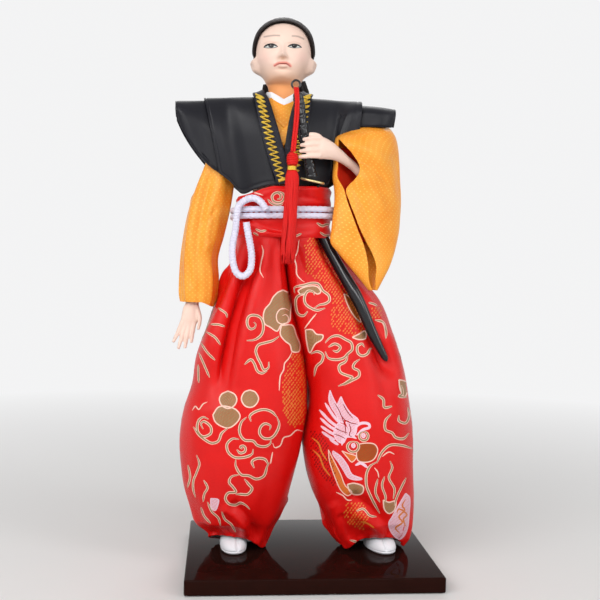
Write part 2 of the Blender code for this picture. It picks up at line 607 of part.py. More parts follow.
def make_head():
    """Face, ears and neck as one moulded piece, with the hair cap and the hair behind."""
    turn_c, turn_s = math.cos(HEAD_TURN), math.sin(HEAD_TURN)

    def place(p):
        return (HEAD_X + p[0] * turn_c - p[1] * turn_s, p[0] * turn_s + p[1] * turn_c, p[2])

    angles = [2 * math.pi * j / 28 for j in range(28)]
    levels = [251.2, 257.0, 261.4, 263.2, 265.2, 267.8, 270.0, 272.0, 274.0, 275.6, 277.2, 279.4, 281.8,
              285.0,
              289.0, 292.6, 295.2, 296.6]
    loft("head", [[place(head_point(z, a)) for a in angles] for z in levels], "skin")
    rings = []
    steps = 6
    crown = math.radians(84)
    for step in range(steps + 1):
        ring = []
        for j in range(24):
            angle = 2 * math.pi * j / 24
            front = abs((math.degrees(angle) - 90) % 360 - 180)
            low = math.radians(smooth(front, HAIRLINE, 1))
            lift = low + (crown - low) * step / steps
            z = 281.0 + 15.5 * math.sin(lift)
            side = HAIR_THICKNESS * max(math.cos(lift), 0.5) + 0.3
            half_x = smooth(z, HEAD_ROWS, 1) + side
            behind = ramp(math.sin(angle), -0.1, 0.4)
            reach = smooth(z, HEAD_ROWS, 3 if math.sin(angle) > 0 else 2) + side + 0.6 * behind
            ring.append(place((half_x * math.cos(angle), HEAD_Y + reach * math.sin(angle),
                               z + HAIR_THICKNESS * max(math.sin(lift), 0.0))))
        rings.append(ring)
    sleeve("hair_cap", rings, HAIR_THICKNESS - GAP * 2, "hair", closed_top=True)
    path = along([(-17.0, 16.6, 267.4), (-16.6, 18.4, 262.6), (-14.6, 22.4, 256.0), (-14.6, 23.6, 244.0),
                  (-15.4, 22.6, 228.0), (-16.0, 21.6, 213.0)], 9)
    wide = [10.0, 12.4, 12.7, 11.4, 9.9, 8.2, 6.2, 4.0, 1.6]
    deep = [2.2, 3.1, 3.1, 2.8, 2.8, 2.7, 2.4, 1.9, 1.0]
    tube("hair_tail", path, wide, "hair", deep, 12)


LINING_INSET = CLOTH + 1.3
# Right sleeve: height, low x, high x, centre y, half depth
RIGHT_SLEEVE = [
    (143.8, -71.4, -53.4, -1.0, 8.6), (147.0, -71.8, -52.2, -1.0, 9.2), (156.0, -71.9, -51.4, -0.6, 9.6),
    (168.0, -71.5, -52.0, -0.2, 9.4), (180.0, -70.3, -49.0, 0.0, 9.0), (192.0, -68.4, -46.4, 0.2, 8.4),
    (203.0, -65.4, -44.6, 0.4, 7.8), (217.0, -59.8, -43.0, 0.6, 7.2), (230.0, -55.0, -41.6, 0.6, 6.4),
    (241.0, -51.0, -41.0, 0.6, 5.6),
]


def make_right_arm():
    """The hanging arm: sleeve, its lining, the wire inside and the open hand."""
    rings = []
    for z in (143.8, 149.0, 160.0, 175.0, 190.0, 205.0, 221.0, 241.0):
        low, high = smooth(z, RIGHT_SLEEVE, 1), smooth(z, RIGHT_SLEEVE, 2)
        y, deep = smooth(z, RIGHT_SLEEVE, 3), smooth(z, RIGHT_SLEEVE, 4)
        x, wide = (low + high) / 2, (high - low) / 2
        fold = 0.7 * ramp(z, 140, 150) * (1 - ramp(z, 225, 240))
        ring = []
        for j in range(22):
            angle = 2 * math.pi * j / 22
            c, s = math.cos(angle), math.sin(angle)
            grow = 1 + fold * (math.cos(5 * angle + z * 0.03) + 0.2) / wide
            drop = -2.6 * ramp(c, 0.2, 1.0) * (1 - ramp(z, 143, 152))
            ring.append((x + wide * c * grow, y + deep * s * grow, z + drop))
        rings.append(ring)
    sleeve("right_sleeve", rings, CLOTH, "yellow_satin")
    rings = []
    for z in (145.2, 156.0, 176.0):
        x = (smooth(z, RIGHT_SLEEVE, 1) + smooth(z, RIGHT_SLEEVE, 2)) / 2
        wide = (smooth(z, RIGHT_SLEEVE, 2) - smooth(z, RIGHT_SLEEVE, 1)) / 2 - LINING_INSET
        rings.append(oval(x, smooth(z, RIGHT_SLEEVE, 3), z, wide,
                          smooth(z, RIGHT_SLEEVE, 4) - LINING_INSET, 22))
    sleeve("right_sleeve_lining", rings, LINING, "red_lining")
    wire = [(-41.2, 0.2, 246.4), (-44.6, 0.4, 246.2), (-46.4, 0.6, 240.0), (-49.0, 0.6, 228),
            (-54.6, 0.4, 205),
            (-62.0, -0.8, 172), (-63.4, -1.7, 160.0 + GAP)]
    rod("right_arm_wire", along(wire, 11), WIRE_RADIUS, "wire")
    palm = along([(-63.4, -1.8, 160), (-63.9, -1.8, 148), (-65.8, -3.0, 139), (-66.6, -4.6, 130.5)], 6)
    rings = tube_rings(palm, [3.0, 3.0, 3.3, 4.5, 5.0, 3.6], [3.0, 3.0, 2.8, 2.6, 2.5, 1.8], 10)
    hand = loft("right_hand", rings, "skin")
    tips = (((-69.6, -4.2, 134), (-72.6, -6.0, 127), (-75.0, -6.8, 121.8)),
            ((-68.2, -4.6, 132), (-70.6, -6.4, 124), (-72.2, -7.0, 118.2)),
            ((-66.2, -4.8, 131.6), (-67.8, -6.6, 124), (-68.6, -7.4, 118.6)),
            ((-64.0, -4.8, 132.4), (-64.8, -6.4, 126), (-65.2, -7.2, 121.6)),
            ((-62.6, -3.2, 141), (-60.8, -5.6, 134.6), (-61.6, -7.4, 128.8)))
    for k, tip in enumerate(tips):
        finger = tube(f"right_finger_cutter_{k}", along(tip, 4), [1.7, 1.55, 1.35, 0.8], "skin", sides=6,
                      helper=True)
        join(hand, finger, f"finger_{k}")


# Left sleeve: height, low x, high x, centre y, half depth, slant, near edge x, far edge x
LEFT_SLEEVE = [
    (246.5, 16.0, 32.0, 0.0, 6.0, 0.0, 20.0, 20.9), (241.0, 15.2, 40.6, -2.0, 8.0, 0.02, 17.4, 18.4),
    (237.0, 14.6, 43.6, -5.0, 12.0, 0.12, 15.8, 16.8), (233.0, 11.0, 45.6, -7.6, 13.2, 0.34, 12.2, 13.2),
    (228.2, 9.8, 46.8, -9.0, 13.2, 0.46, 11.2, 12.4), (223.0, 9.4, 47.4, -9.0, 13.0, 0.48, 10.6, 17.4),
    (218.0, 9.4, 47.8, -9.0, 12.8, 0.48, 10.8, 22.4), (211.5, 9.0, 48.2, -9.6, 12.4, 0.5, 10.6, 20.6),
    (205.0, 10.0, 48.6, -9.8, 11.6, 0.48, 14.2, 15.4), (199.0, 10.2, 48.6, -10.4, 10.8, 0.46, 16.0, 17.1),
    (191.0, 9.4, 48.0, -11.6, 9.8, 0.44, 19.0, 20.2), (184.0, 8.6, 47.2, -13.2, 8.4, 0.42, 21.8, 23.2),
    (177.0, 8.2, 45.4, -15.2, 6.8, 0.38, 24.8, 27.2), (171.0, 13.0, 43.2, -16.8, 5.6, 0.3, 26.8, 30.6),
    (164.6, 18.6, 40.4, -18.2, 4.6, 0.2, 28.0, 32.6), (158.0, 24.4, 36.8, -18.8, 3.8, 0.1, 28.6, 32.2),
    (151.6, 29.8, 33.4, -19.0, 2.2, 0.0, 31.0, 32.6),
]


def sleeve_point(z, share, inset=0.0):
    """Point on the raised sleeve: share runs from one edge of its mouth round the back to the other."""
    rows = [(-row[0], *row[1:]) for row in LEFT_SLEEVE]
    low, high = smooth(-z, rows, 1), smooth(-z, rows, 2)
    centre_y, deep, slant = smooth(-z, rows, 3), smooth(-z, rows, 4), smooth(-z, rows, 5)
    near, far = smooth(-z, rows, 6), smooth(-z, rows, 7)
    x, wide = (low + high) / 2, (high - low) / 2
    start = -math.acos(min(max((near - x) / wide, -0.985), 0.985))
    end = -math.acos(min(max((far - x) / wide, -0.985), 0.985)) - 2 * math.pi
    angle = start + (end - start) * share
    c, s = math.cos(angle), math.sin(angle)
    px = x + (wide - inset) * c
    thin = 0.55 + 0.45 * ramp(c, -1.0, 0.2) if s > 0 else 1.0
    py = centre_y + (deep - inset) * s * thin + slant * (px - x)
    return px, py, z


def make_left_arm():
    """The raised arm: bag sleeve with its slit mouth, lining, wire, and the fist round the hilt."""
    levels = [246.5, 241.0, 237.0, 233.0, 228.0, 223.0, 216.0, 209.0, 200.0, 189.0, 178.0, 169.0, 160.0,
              152.0]
    grid = [[sleeve_point(z, j / 18) for j in range(19)] for z in levels]
    sheet("left_sleeve", grid, CLOTH, "yellow_satin")
    grid = [[sleeve_point(z, 0.07 + 0.86 * j / 14, LINING_INSET) for j in range(15)] for z in levels[4:11]]
    sheet("left_sleeve_lining", grid, LINING, "red_lining")
    wire = [(6.6, 0, 244), (11.0, 0, 248.4), (17.0, -0.2, 249.4), (22.6, -0.8, 246.6), (27.0, -3.0, 238),
            (36.0, -7.0, 214), (34.0, -10.0, 206.4), (25.2 + GAP * 2, -16.0, 210.4)]
    rod("left_arm_wire", along(wire, 15), WIRE_RADIUS, "wire")
    wrist = along([(25.2, -16.4, 210.6), (15.4, -22.8, 217.6), (7.8, -27.4, 223.4), (2.0, -27.0, 227.4),
                   (-1.8, -26.6, 228.6)], 7)
    rings = tube_rings(wrist, [3.1, 3.2, 3.3, 3.8, 5.2, 6.2, 5.2], [3.0, 3.0, 3.0, 3.0, 3.2, 3.4, 2.6], 10,
                       (0, 0, 1))
    hand = loft("left_hand", rings, "skin")
    for k in range(4):
        z = 232.0 - 3.05 * k
        x = -6.6 - 0.4 * k + (0.9 if k == 0 else 0)
        path = along([(1.0, -28.4, z + 0.2), (-3.6, -29.4, z), (x, -29.3, z - 0.4),
                      (x - 2.6, -27.6, z - 0.6)], 5)
        finger = tube(f"left_finger_cutter_{k}", path, [1.8, 1.7, 1.65, 1.5, 0.9], "skin", sides=6,
                      side=(0, 0, 1),
                      helper=True)
        join(hand, finger, f"finger_{k}")


def sash_loop(z, spread, sides):
    """Points round the sash at one height, spread out from it."""
    return oval(BODY_X, 0, z, SASH_HALF_WIDTH + spread, SASH_HALF_DEPTH + spread, sides, 3.0)


def make_sash():
    """The brocade sash round the waist, with a channel for the scabbard behind its front."""
    height = SASH_HIGH_Z - SASH_LOW_Z
    sides = 32

    def dipped(ring, share):
        return [(x, y, z - 5.2 * ramp(BODY_X - 5 - x, 0, 20) * ramp(share, 0.5, 1.0)) for x, y, z in ring]

    outer = [dipped(sash_loop(SASH_LOW_Z + height * share, spread, sides), share)
             for share, spread in ((0.0, -0.7), (0.06, 0.0), (0.5, -0.4), (0.94, 0.0), (1.0, -0.7))]
    inner = [dipped(oval(BODY_X, 0, SASH_LOW_Z + height * share, WAIST_HALF_WIDTH + GAP * 2,
                         WAIST_HALF_DEPTH + GAP * 2, sides, 3.6), share) for share in (0.0, 1.0)]
    sash = shell("obi_sash", outer, inner, "red_brocade")
    deeper = 1.8
    above = (-2.8, -23.4, 213.0)
    route = [(x, y + deeper, z) for x, y, z in [above, *SCABBARD_ROUTE[:7]]]
    channel = tube("channel_cutter", along(route, 16), SCABBARD_RADIUS + GAP * 3, "wire",
                   SCABBARD_RADIUS * SCABBARD_FLAT + GAP * 2.5 + deeper, 14, helper=True)
    cut(sash, channel, "channel")


def make_waist_cords():
    """Two turns of white cord round the sash and the loop that hangs from them."""
    apart = CORD_RADIUS + 0.1
    for name, z in (("waist_cord_upper", CORD_Z + apart), ("waist_cord_lower", CORD_Z - apart)):
        path = [(x, y, h + (x - BODY_X) * 0.02) for x, y, h in sash_loop(z, CORD_RADIUS + GAP / 2, 28)]
        rod(name, path, CORD_RADIUS, "white_cord", 2, closed=True)
    rod("waist_cord_loop", along(LOOP_ROUTE, 26), LOOP_RADIUS, "white_cord")


CORD_Z = 192.5
# Hanging loop of cord, from its front end round to its back end
LOOP_ROUTE = [
    (-26.6, -24.9, 193.4), (-29.2, -24.8, 197.0), (-32.6, -23.6, 199.2), (-36.6, -21.0, 198.8),
    (-40.8, -20.6, 195.4),
    (-42.0, -20.6, 189.6), (-42.4, -20.6, 182.9), (-43.7, -21.0, 176.3), (-44.0, -22.0, 169.4),
    (-42.9, -23.0, 162.6),
    (-38.7, -24.2, 158.2), (-34.0, -24.4, 162.7), (-33.9, -24.2, 169.6), (-35.0, -24.0, 176.4),
    (-36.2, -23.8, 182.4),
    (-36.9, -23.7, 186.6),
]
# Scabbard centre line from the guard down to the tip
SCABBARD_ROUTE = [
    (-1.4, -19.7, 206.8), (-0.4, -17.8, 204.4), (0.4, -15.2, 200.0), (1.4, -12.4, 192.0), (3.4, -10.7, 184.0),
    (6.2, -10.8, 178.0), (13.4, -13.6, 164.6), (23.6, -18.3, 146.6), (32.0, -20.4, 128.0),
    (39.6, -20.6, 113.9),
]
SCABBARD_FLAT = 0.72


def make_sword():
    """Hilt, guard, scabbard and the small ring on the pommel."""
    hilt = along([(-11.1, -23.8, 255.2), (-9.2, -24.0, 241.7), (-7.5, -24.0, 232.3), (-4.8, -23.2, 219.9),
                  (-2.8, -22.2, 211.1)], 9)
    wide = [HILT_RADIUS * 0.8] + [HILT_RADIUS] * 8
    tube("sword_hilt", hilt, wide, "black_gloss", [w * 0.8 for w in wide], 10)
    disc("sword_guard", (-2.3, -22.0, 209.2), GUARD_RADIUS, GUARD_THICKNESS, "gilt", (7.0, 11.0, 0.0), 0.78)
    count = 18
    wide = np.interp(np.linspace(0, 1, count), [0, 0.3, 0.5, 0.6, 0.85, 1.0],
                     [1.0, 1.0, 1.1, 1.2, 0.95, 0.45])
    wide = wide * SCABBARD_RADIUS
    tube("scabbard", along(SCABBARD_ROUTE, count), wide, "black_gloss", wide * SCABBARD_FLAT, 10)
    ring = [(-12.0 + 2.2 * math.cos(a), -24.0 + 0.5 * math.sin(a), 259.0 + 2.2 * math.sin(a))
            for a in np.linspace(0, 2 * math.pi, 16, endpoint=False)]
    rod("pommel_ring", ring, 0.55, "black_gloss", 1, closed=True)


def make_tassel():
    """The red cord from the ring, its knot, gold band and skirt."""
    cord = [(-12.1, -26.1, 257.0), (-11.6, -28.2, 250.0), (-11.9, -28.6, 240.0), (-12.8, -28.8, 229.6),
            (-13.4, -28.8, 223.4)]
    rod("tassel_cord", along(cord, 10), 1.2, "red_cord")
    rows = [(222.9, 0.35), (222.0, 0.75), (220.4, 1.0), (218.4, 1.0), (216.9, 0.75), (216.2, 0.45)]
    loft("tassel_knot", [oval(-13.6, -28.6, z, TASSEL_RADIUS * r, TASSEL_RADIUS * r, 12)
                         for z, r in rows], "red_cord")
    disc("tassel_band", (-13.8, -28.6, 214.9), 2.3, 2.0, "gold_braid")
    rows = [(213.6, -13.8, 1.9), (211.4, -13.6, 3.2), (204.0, -13.7, 3.5), (194.0, -14.2, 3.3),
            (184.0, -14.6, 3.6),
            (175.0, -14.9, 3.8), (168.0, -15.1, 3.2), (164.6, -15.2, 1.6)]
    loft("tassel_skirt", [oval(x, -28.4, z, r, r * 0.82, 14) for z, x, r in rows], "red_cord")


def main():
    """Builds every piece in place."""
    clear_scene()
    make_plinth()
    make_figure()
    make_foot("right_foot", *RIGHT_FOOT)
    make_foot("left_foot", *LEFT_FOOT)
    make_body()
    make_leg("hakama_right_leg", True, *RIGHT_FOOT)
    make_leg("hakama_left_leg", False, *LEFT_FOOT)
    make_kimono()
    make_head()
    make_vest()
    make_lapels()
    make_right_arm()
    make_left_arm()
    make_sash()
    make_waist_cords()
    make_sword()
    make_tassel()


main()
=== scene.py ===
"""Dressed model of a standing samurai doll on a lacquered plinth.

Each sub-assembly is a class that holds its sizes in millimetres and makes its own pieces in the frame
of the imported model: the origin is the centre of the plinth's underside, the doll faces -Y, +Z is up.
The names right and left are the figure's own, so right is on the -X side.
"""

import logging
import math
from dataclasses import dataclass
from enum import Enum
from typing import Sequence

import bpy
import numpy as np
from mathutils import Matrix, Vector
from mathutils.bvhtree import BVHTree


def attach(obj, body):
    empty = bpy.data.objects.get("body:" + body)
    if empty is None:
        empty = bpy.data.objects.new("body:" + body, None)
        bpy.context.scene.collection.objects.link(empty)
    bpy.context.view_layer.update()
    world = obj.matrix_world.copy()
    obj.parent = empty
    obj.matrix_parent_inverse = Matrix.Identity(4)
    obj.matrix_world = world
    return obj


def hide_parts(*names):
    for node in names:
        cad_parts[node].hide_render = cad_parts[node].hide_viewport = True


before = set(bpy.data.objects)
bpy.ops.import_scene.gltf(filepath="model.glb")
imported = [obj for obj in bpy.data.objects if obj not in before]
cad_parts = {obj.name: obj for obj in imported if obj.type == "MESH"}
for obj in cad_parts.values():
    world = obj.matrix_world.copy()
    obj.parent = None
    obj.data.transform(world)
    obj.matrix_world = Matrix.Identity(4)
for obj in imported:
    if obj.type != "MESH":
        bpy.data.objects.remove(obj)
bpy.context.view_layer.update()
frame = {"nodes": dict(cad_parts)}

MM = 0.001
BODY_X = -16.0
HEAD_X = -17.3
HEAD_Y = 1.6
HEAD_TURN = math.radians(-5)
UV_PER_MM = 0.01
TURNED_EDGES = 1.2
SLEEVE_WALL = 0.8
LINING_WALL = 0.5
LINING_INSET = 2.3
SASH_HALF_WIDTH = 25.8
SASH_HALF_DEPTH = 19.5
GOLDEN_ANGLE = 2.39996

Colour = tuple[float, float, float]
Point = tuple[float, float, float]
Stroke = Sequence[tuple[float, float]]
Rows = tuple[tuple[float, ...], ...]
log = logging.getLogger("samurai_doll")


def ramp(x: np.ndarray | float, low: float, high: float) -> np.ndarray:
    """Smooth step from 0 at low to 1 at high."""
    t = np.clip((np.asarray(x, float) - low) / (high - low), 0.0, 1.0)
    return t * t * (3 - 2 * t)


def bell(x: np.ndarray, middle: float, width: float) -> np.ndarray:
    """Round hump of height 1."""
    return np.exp(-(((x - middle) / width) ** 2))


class Profile:
    """Smooth curve through the rows of a table, read at any place along its first column."""

    def __init__(self, rows: Sequence[Sequence[float]]) -> None:
        """Keeps the rows and the slope of every column at each of them."""
        self.rows = np.array(rows, float)
        at, values = self.rows[:, 0], self.rows[:, 1:]
        last = len(at) - 1
        low = np.maximum(np.arange(last + 1) - 1, 0)
        high = np.minimum(np.arange(last + 1) + 1, last)
        self.slopes = (values[high] - values[low]) / (at[high] - at[low])[:, None]

    def read(self, x: np.ndarray | float, column: int) -> np.ndarray:
        """Reads one column.

        Args:
            x: where to read, one number or an array.
            column: the table's column, 1 being the first value.

        Returns:
            The column's values there, held level past both ends.
        """
        at, values, slope = self.rows[:, 0], self.rows[:, column], self.slopes[:, column - 1]
        x = np.clip(np.asarray(x, float), at[0], at[-1])
        k = np.clip(np.searchsorted(at, x, side="right") - 1, 0, len(at) - 2)
        step = at[k + 1] - at[k]
        t = (x - at[k]) / step
        start = (2 * t**3 - 3 * t**2 + 1) * values[k] + (t**3 - 2 * t**2 + t) * step * slope[k]
        return start + (3 * t**2 - 2 * t**3) * values[k + 1] + (t**3 - t**2) * step * slope[k + 1]


def distances(path: np.ndarray) -> np.ndarray:
    """How far along a line of points each of them lies."""
    return np.concatenate([[0], np.cumsum(np.linalg.norm(np.diff(path, axis=0), axis=1))])


def placed(x: np.ndarray | float, y: np.ndarray | float, z: np.ndarray | float) -> np.ndarray:
    """Places whose coordinates are given apart, spread over one grid."""
    return np.stack(np.broadcast_arrays(x, y, z), axis=-1)


def full_turn(count: int) -> np.ndarray:
    """A row of angles all the way round, the last one back at the first."""
    return np.linspace(0, 2 * math.pi, count)[None, :]


def along(points: Sequence[Sequence[float]], count: int) -> np.ndarray:
    """Evenly spaced points on a smooth curve through the given ones."""
    places = np.asarray(points, float)
    reach = distances(places)
    curve = Profile(np.column_stack([reach, places]))
    at = np.linspace(0, reach[-1], count)
    return np.column_stack([curve.read(at, k + 1) for k in range(places.shape[1])])


def length_of(path: np.ndarray) -> float:
    """Length of a line of points."""
    return float(np.linalg.norm(np.diff(path, axis=0), axis=1).sum())


def nearest(pixels: np.ndarray, line: np.ndarray) -> tuple[np.ndarray, np.ndarray]:
    """Distance from each pixel to a line, and how far along the line its nearest point lies, from 0 to 1."""
    best = np.full(pixels.shape[:-1], np.inf)
    share = np.zeros(pixels.shape[:-1])
    for k in range(len(line) - 1):
        way = line[k + 1] - line[k]
        t = np.clip(((pixels - line[k]) @ way) / (way @ way), 0.0, 1.0)
        gap = np.linalg.norm(pixels - line[k] - t[..., None] * way, axis=-1)
        nearer = gap < best
        best = np.where(nearer, gap, best)
        share = np.where(nearer, (k + t) / (len(line) - 1), share)
    return best, share


def superellipse(angle: np.ndarray, power: np.ndarray | float) -> tuple[np.ndarray, np.ndarray]:
    """Cosine and sine of a rounder or squarer ring."""
    c, s = np.cos(angle), np.sin(angle)
    return np.copysign(np.abs(c) ** (2 / power), c), np.copysign(np.abs(s) ** (2 / power), s)


@dataclass(frozen=True)
class View:
    """The camera that took the reference picture, fitted to the plinth and the figure."""

    place: Point = (-50.7, -522.8, 164.4)
    yaw: float = math.radians(4.89)
    pitch: float = math.radians(-2.07)
    roll: float = math.radians(0.98)
    lens: float = 57.0
    sensor: float = 36.0
    frame: float = 600.0

    @property
    def reach(self) -> float:
        """Focal length in pixels."""
        return self.lens / self.sensor * self.frame

    def axes(self) -> np.ndarray:
        """Rows: the camera's right, its up and the way it looks."""
        flat = math.cos(self.pitch)
        forward = np.array([math.sin(self.yaw) * flat, math.cos(self.yaw) * flat, math.sin(self.pitch)])
        level = np.array([math.cos(self.yaw), -math.sin(self.yaw), 0.0])
        upright = np.cross(level, forward)
        c, s = math.cos(self.roll), math.sin(self.roll)
        return np.array([level * c + upright * s, upright * c - level * s, forward])

    def pixels(self, points: np.ndarray) -> np.ndarray:
        """Where points in millimetres fall in the picture."""
        seen = (points - np.array(self.place)) @ self.axes().T
        across = self.frame / 2 + self.reach * seen[..., 0] / seen[..., 2]
        down = self.frame / 2 - self.reach * seen[..., 1] / seen[..., 2]
        return np.stack([across, down], axis=-1)

    def rays(self, pixels: np.ndarray) -> np.ndarray:
        """Unit directions through the given pixels."""
        middle = self.frame / 2
        local = np.stack([(pixels[..., 0] - middle) / self.reach, (middle - pixels[..., 1]) / self.reach,
                          np.ones(pixels.shape[:-1])], axis=-1)
        ways = local @ self.axes()
        return ways / np.linalg.norm(ways, axis=-1, keepdims=True)

    def build(self) -> bpy.types.Object:
        """Adds the camera and makes it the scene's own."""
        bpy.ops.object.camera_add()
        camera = bpy.context.object
        camera.name = "picture_camera"
        right, upright, forward = self.axes()
        turn = Matrix((right, upright, -forward)).transposed()
        camera.matrix_world = Matrix.Translation(Vector(self.place) * MM) @ turn.to_4x4()
        camera.data.lens = self.lens
        camera.data.sensor_width = self.sensor
        camera.data.clip_start = 0.01
        bpy.context.scene.camera = camera
        return camera


VIEW = View()


class Pattern(Enum):
    """The small-scale surface of a finish."""

    SATIN = "satin"
    DOTTED = "dotted"
    PLAIN_WEAVE = "plain_weave"
    GRAIN = "grain"
    STRANDS = "strands"
    THREAD = "thread"
    SEQUIN = "sequin"


class Graph:
    """Short way to lay out the nodes of one material or group."""

    def __init__(self, tree: bpy.types.NodeTree) -> None:
        """Takes the tree to add to."""
        self.tree = tree

    def add(self, kind: str, **inputs: object) -> bpy.types.Node:
        """Adds a node.

        Args:
            kind: the node type without its ShaderNode prefix, then any operation after a colon.
            inputs: socket values or links by name, an input's index written as i0, i1 and so on.

        Returns:
            The new node.
        """
        kind, _, operation = kind.partition(":")
        node = self.tree.nodes.new("ShaderNode" + kind)
        if operation:
            node.operation = operation
        for name, value in inputs.items():
            by_index = name[0] == "i" and name[1:].isdigit()
            socket = node.inputs[int(name[1:]) if by_index else name]
            if isinstance(value, bpy.types.NodeSocket):
                self.tree.links.new(value, socket)
            else:
                socket.default_value = value
        return node

    def math(self, operation: str, first: object, second: object = 0.0) -> bpy.types.NodeSocket:
        """Result of one Math node."""
        return self.add("Math:" + operation, i0=first, i1=second).outputs[0]

    def mix(self, share: object, low: object, high: object) -> bpy.types.NodeSocket:
        """Colour mixed from two, each a colour or a link."""
        node = self.tree.nodes.new("ShaderNodeMix")
        node.data_type = "RGBA"
        for index, value in ((0, share), (6, low), (7, high)):
            if isinstance(value, bpy.types.NodeSocket):
                self.tree.links.new(value, node.inputs[index])
            elif index:
                node.inputs[index].default_value = (*value, 1.0)
            else:
                node.inputs[index].default_value = value
        return node.outputs[2]

    def blend(self, share: bpy.types.NodeSocket, first: bpy.types.Node, second: bpy.types.Node,
              end: str) -> None:
        """Sends two shaders, mixed by a share, to the output node of that name."""
        mixed = self.add("MixShader", i0=share, i1=first.outputs[0], i2=second.outputs[0])
        self.tree.links.new(mixed.outputs[0], self.tree.nodes[end].inputs[0])


class PatternGroups:
    """Node groups for the patterns, each taking a place in millimetres and giving a mask and a height."""

    @classmethod
    def get(cls, pattern: Pattern) -> bpy.types.NodeTree:
        """Returns the pattern's group, building it once."""
        name = "pattern_" + pattern.value
        found = bpy.data.node_groups.get(name)
        if found:
            return found
        tree = bpy.data.node_groups.new(name, "ShaderNodeTree")
        tree.interface.new_socket("Place", in_out="INPUT", socket_type="NodeSocketVector")
        pitch = tree.interface.new_socket("Pitch", in_out="INPUT", socket_type="NodeSocketFloat")
        pitch.default_value = 0.5
        tree.interface.new_socket("Mask", in_out="OUTPUT", socket_type="NodeSocketFloat")
        tree.interface.new_socket("Height", in_out="OUTPUT", socket_type="NodeSocketFloat")
        graph = Graph(tree)
        start = tree.nodes.new("NodeGroupInput")
        end = tree.nodes.new("NodeGroupOutput")
        scaled = graph.add("VectorMath:DIVIDE", i0=start.outputs["Place"])
        spread = graph.add("CombineXYZ", **{axis: start.outputs["Pitch"] for axis in "XYZ"})
        tree.links.new(spread.outputs[0], scaled.inputs[1])
        mask, height = getattr(cls, "_" + pattern.value)(graph, scaled.outputs[0])
        tree.links.new(mask, end.inputs["Mask"])
        tree.links.new(height, end.inputs["Height"])
        return tree

    @staticmethod
    def _wave(graph: Graph, value: object, turns: float = 1.0) -> bpy.types.NodeSocket:
        """A sine of the value, from 0 to 1."""
        angle = graph.math("MULTIPLY", value, 2 * math.pi * turns)
        return graph.add("Math:MULTIPLY_ADD", i0=graph.math("SINE", angle), i1=0.5, i2=0.5).outputs[0]

    @classmethod
    def _threads(cls, graph: Graph, place: object, lean: float) -> tuple:
        """Fine threads running along the cloth, with a slow drift between them."""
        axes = graph.add("SeparateXYZ", Vector=place)
        crossed = graph.math("ADD", axes.outputs["X"], graph.math("MULTIPLY", axes.outputs["Y"], lean))
        wave = cls._wave(graph, crossed)
        drift = graph.add("TexNoise", Vector=place, Scale=0.35, Detail=3.0)
        return wave, drift.outputs["Fac"]

    @classmethod
    def _satin(cls, graph: Graph, place: object) -> tuple:
        """Smooth cloth with fine slanting floats."""
        wave, drift = cls._threads(graph, place, 0.35)
        mask = graph.math("ADD", graph.math("MULTIPLY", wave, 0.4), graph.math("MULTIPLY", drift, 0.6))
        return mask, wave

    @classmethod
    def _plain_weave(cls, graph: Graph, place: object) -> tuple:
        """Threads over and under."""
        axes = graph.add("SeparateXYZ", Vector=place)
        first, second = cls._wave(graph, axes.outputs["X"]), cls._wave(graph, axes.outputs["Y"])
        height = graph.math("MAXIMUM", first, second)
        return graph.math("MULTIPLY", first, second), height

    @classmethod
    def _dotted(cls, graph: Graph, place: object) -> tuple:
        """Small woven dots in staggered rows over fine ribs."""
        axes = graph.add("SeparateXYZ", Vector=place)
        first = graph.math("ADD", axes.outputs["X"], axes.outputs["Y"])
        second = graph.math("SUBTRACT", axes.outputs["X"], axes.outputs["Y"])
        both = graph.math("MULTIPLY", cls._wave(graph, first), cls._wave(graph, second))
        dots = graph.add("MapRange", i0=both, i1=0.62, i2=0.9).outputs[0]
        ribs = cls._wave(graph, axes.outputs["Y"], 4.0)
        return dots, graph.math("ADD", dots, graph.math("MULTIPLY", ribs, 0.18))

    @staticmethod
    def _grain(graph: Graph, place: object) -> tuple:
        """Soft uneven grain."""
        noise = graph.add("TexNoise", Vector=place, Scale=1.0, Detail=6.0, Roughness=0.6)
        return noise.outputs["Fac"], noise.outputs["Fac"]

    @classmethod
    def _strands(cls, graph: Graph, place: object) -> tuple:
        """Long parallel strands with uneven widths."""
        axes = graph.add("SeparateXYZ", Vector=place)
        flat = graph.add("CombineXYZ", X=axes.outputs["X"], Y=graph.math("MULTIPLY", axes.outputs["Y"], 0.04))
        noise = graph.add("TexNoise", Vector=flat.outputs[0], Scale=1.0, Detail=4.0, Roughness=0.7)
        return noise.outputs["Fac"], noise.outputs["Fac"]

    @classmethod
    def _thread(cls, graph: Graph, place: object) -> tuple:
        """Twisted thread: slanting turns along its length."""
        wave, drift = cls._threads(graph, place, 1.0)
        return graph.math("MULTIPLY", wave, drift), wave

    @staticmethod
    def _sequin(graph: Graph, place: object) -> tuple:
        """Small facets, a few random ones painted lighter as glints."""
        cells = graph.add("TexVoronoi", Vector=place, Scale=1.0)
        split = graph.add("SeparateColor", Color=cells.outputs["Color"])
        # Painted glints: a few random facets take the lighter colour.
        painted_glint = graph.add("MapRange", i0=split.outputs[0], i1=0.86, i2=0.98).outputs[0]
        return painted_glint, cells.outputs["Distance"]


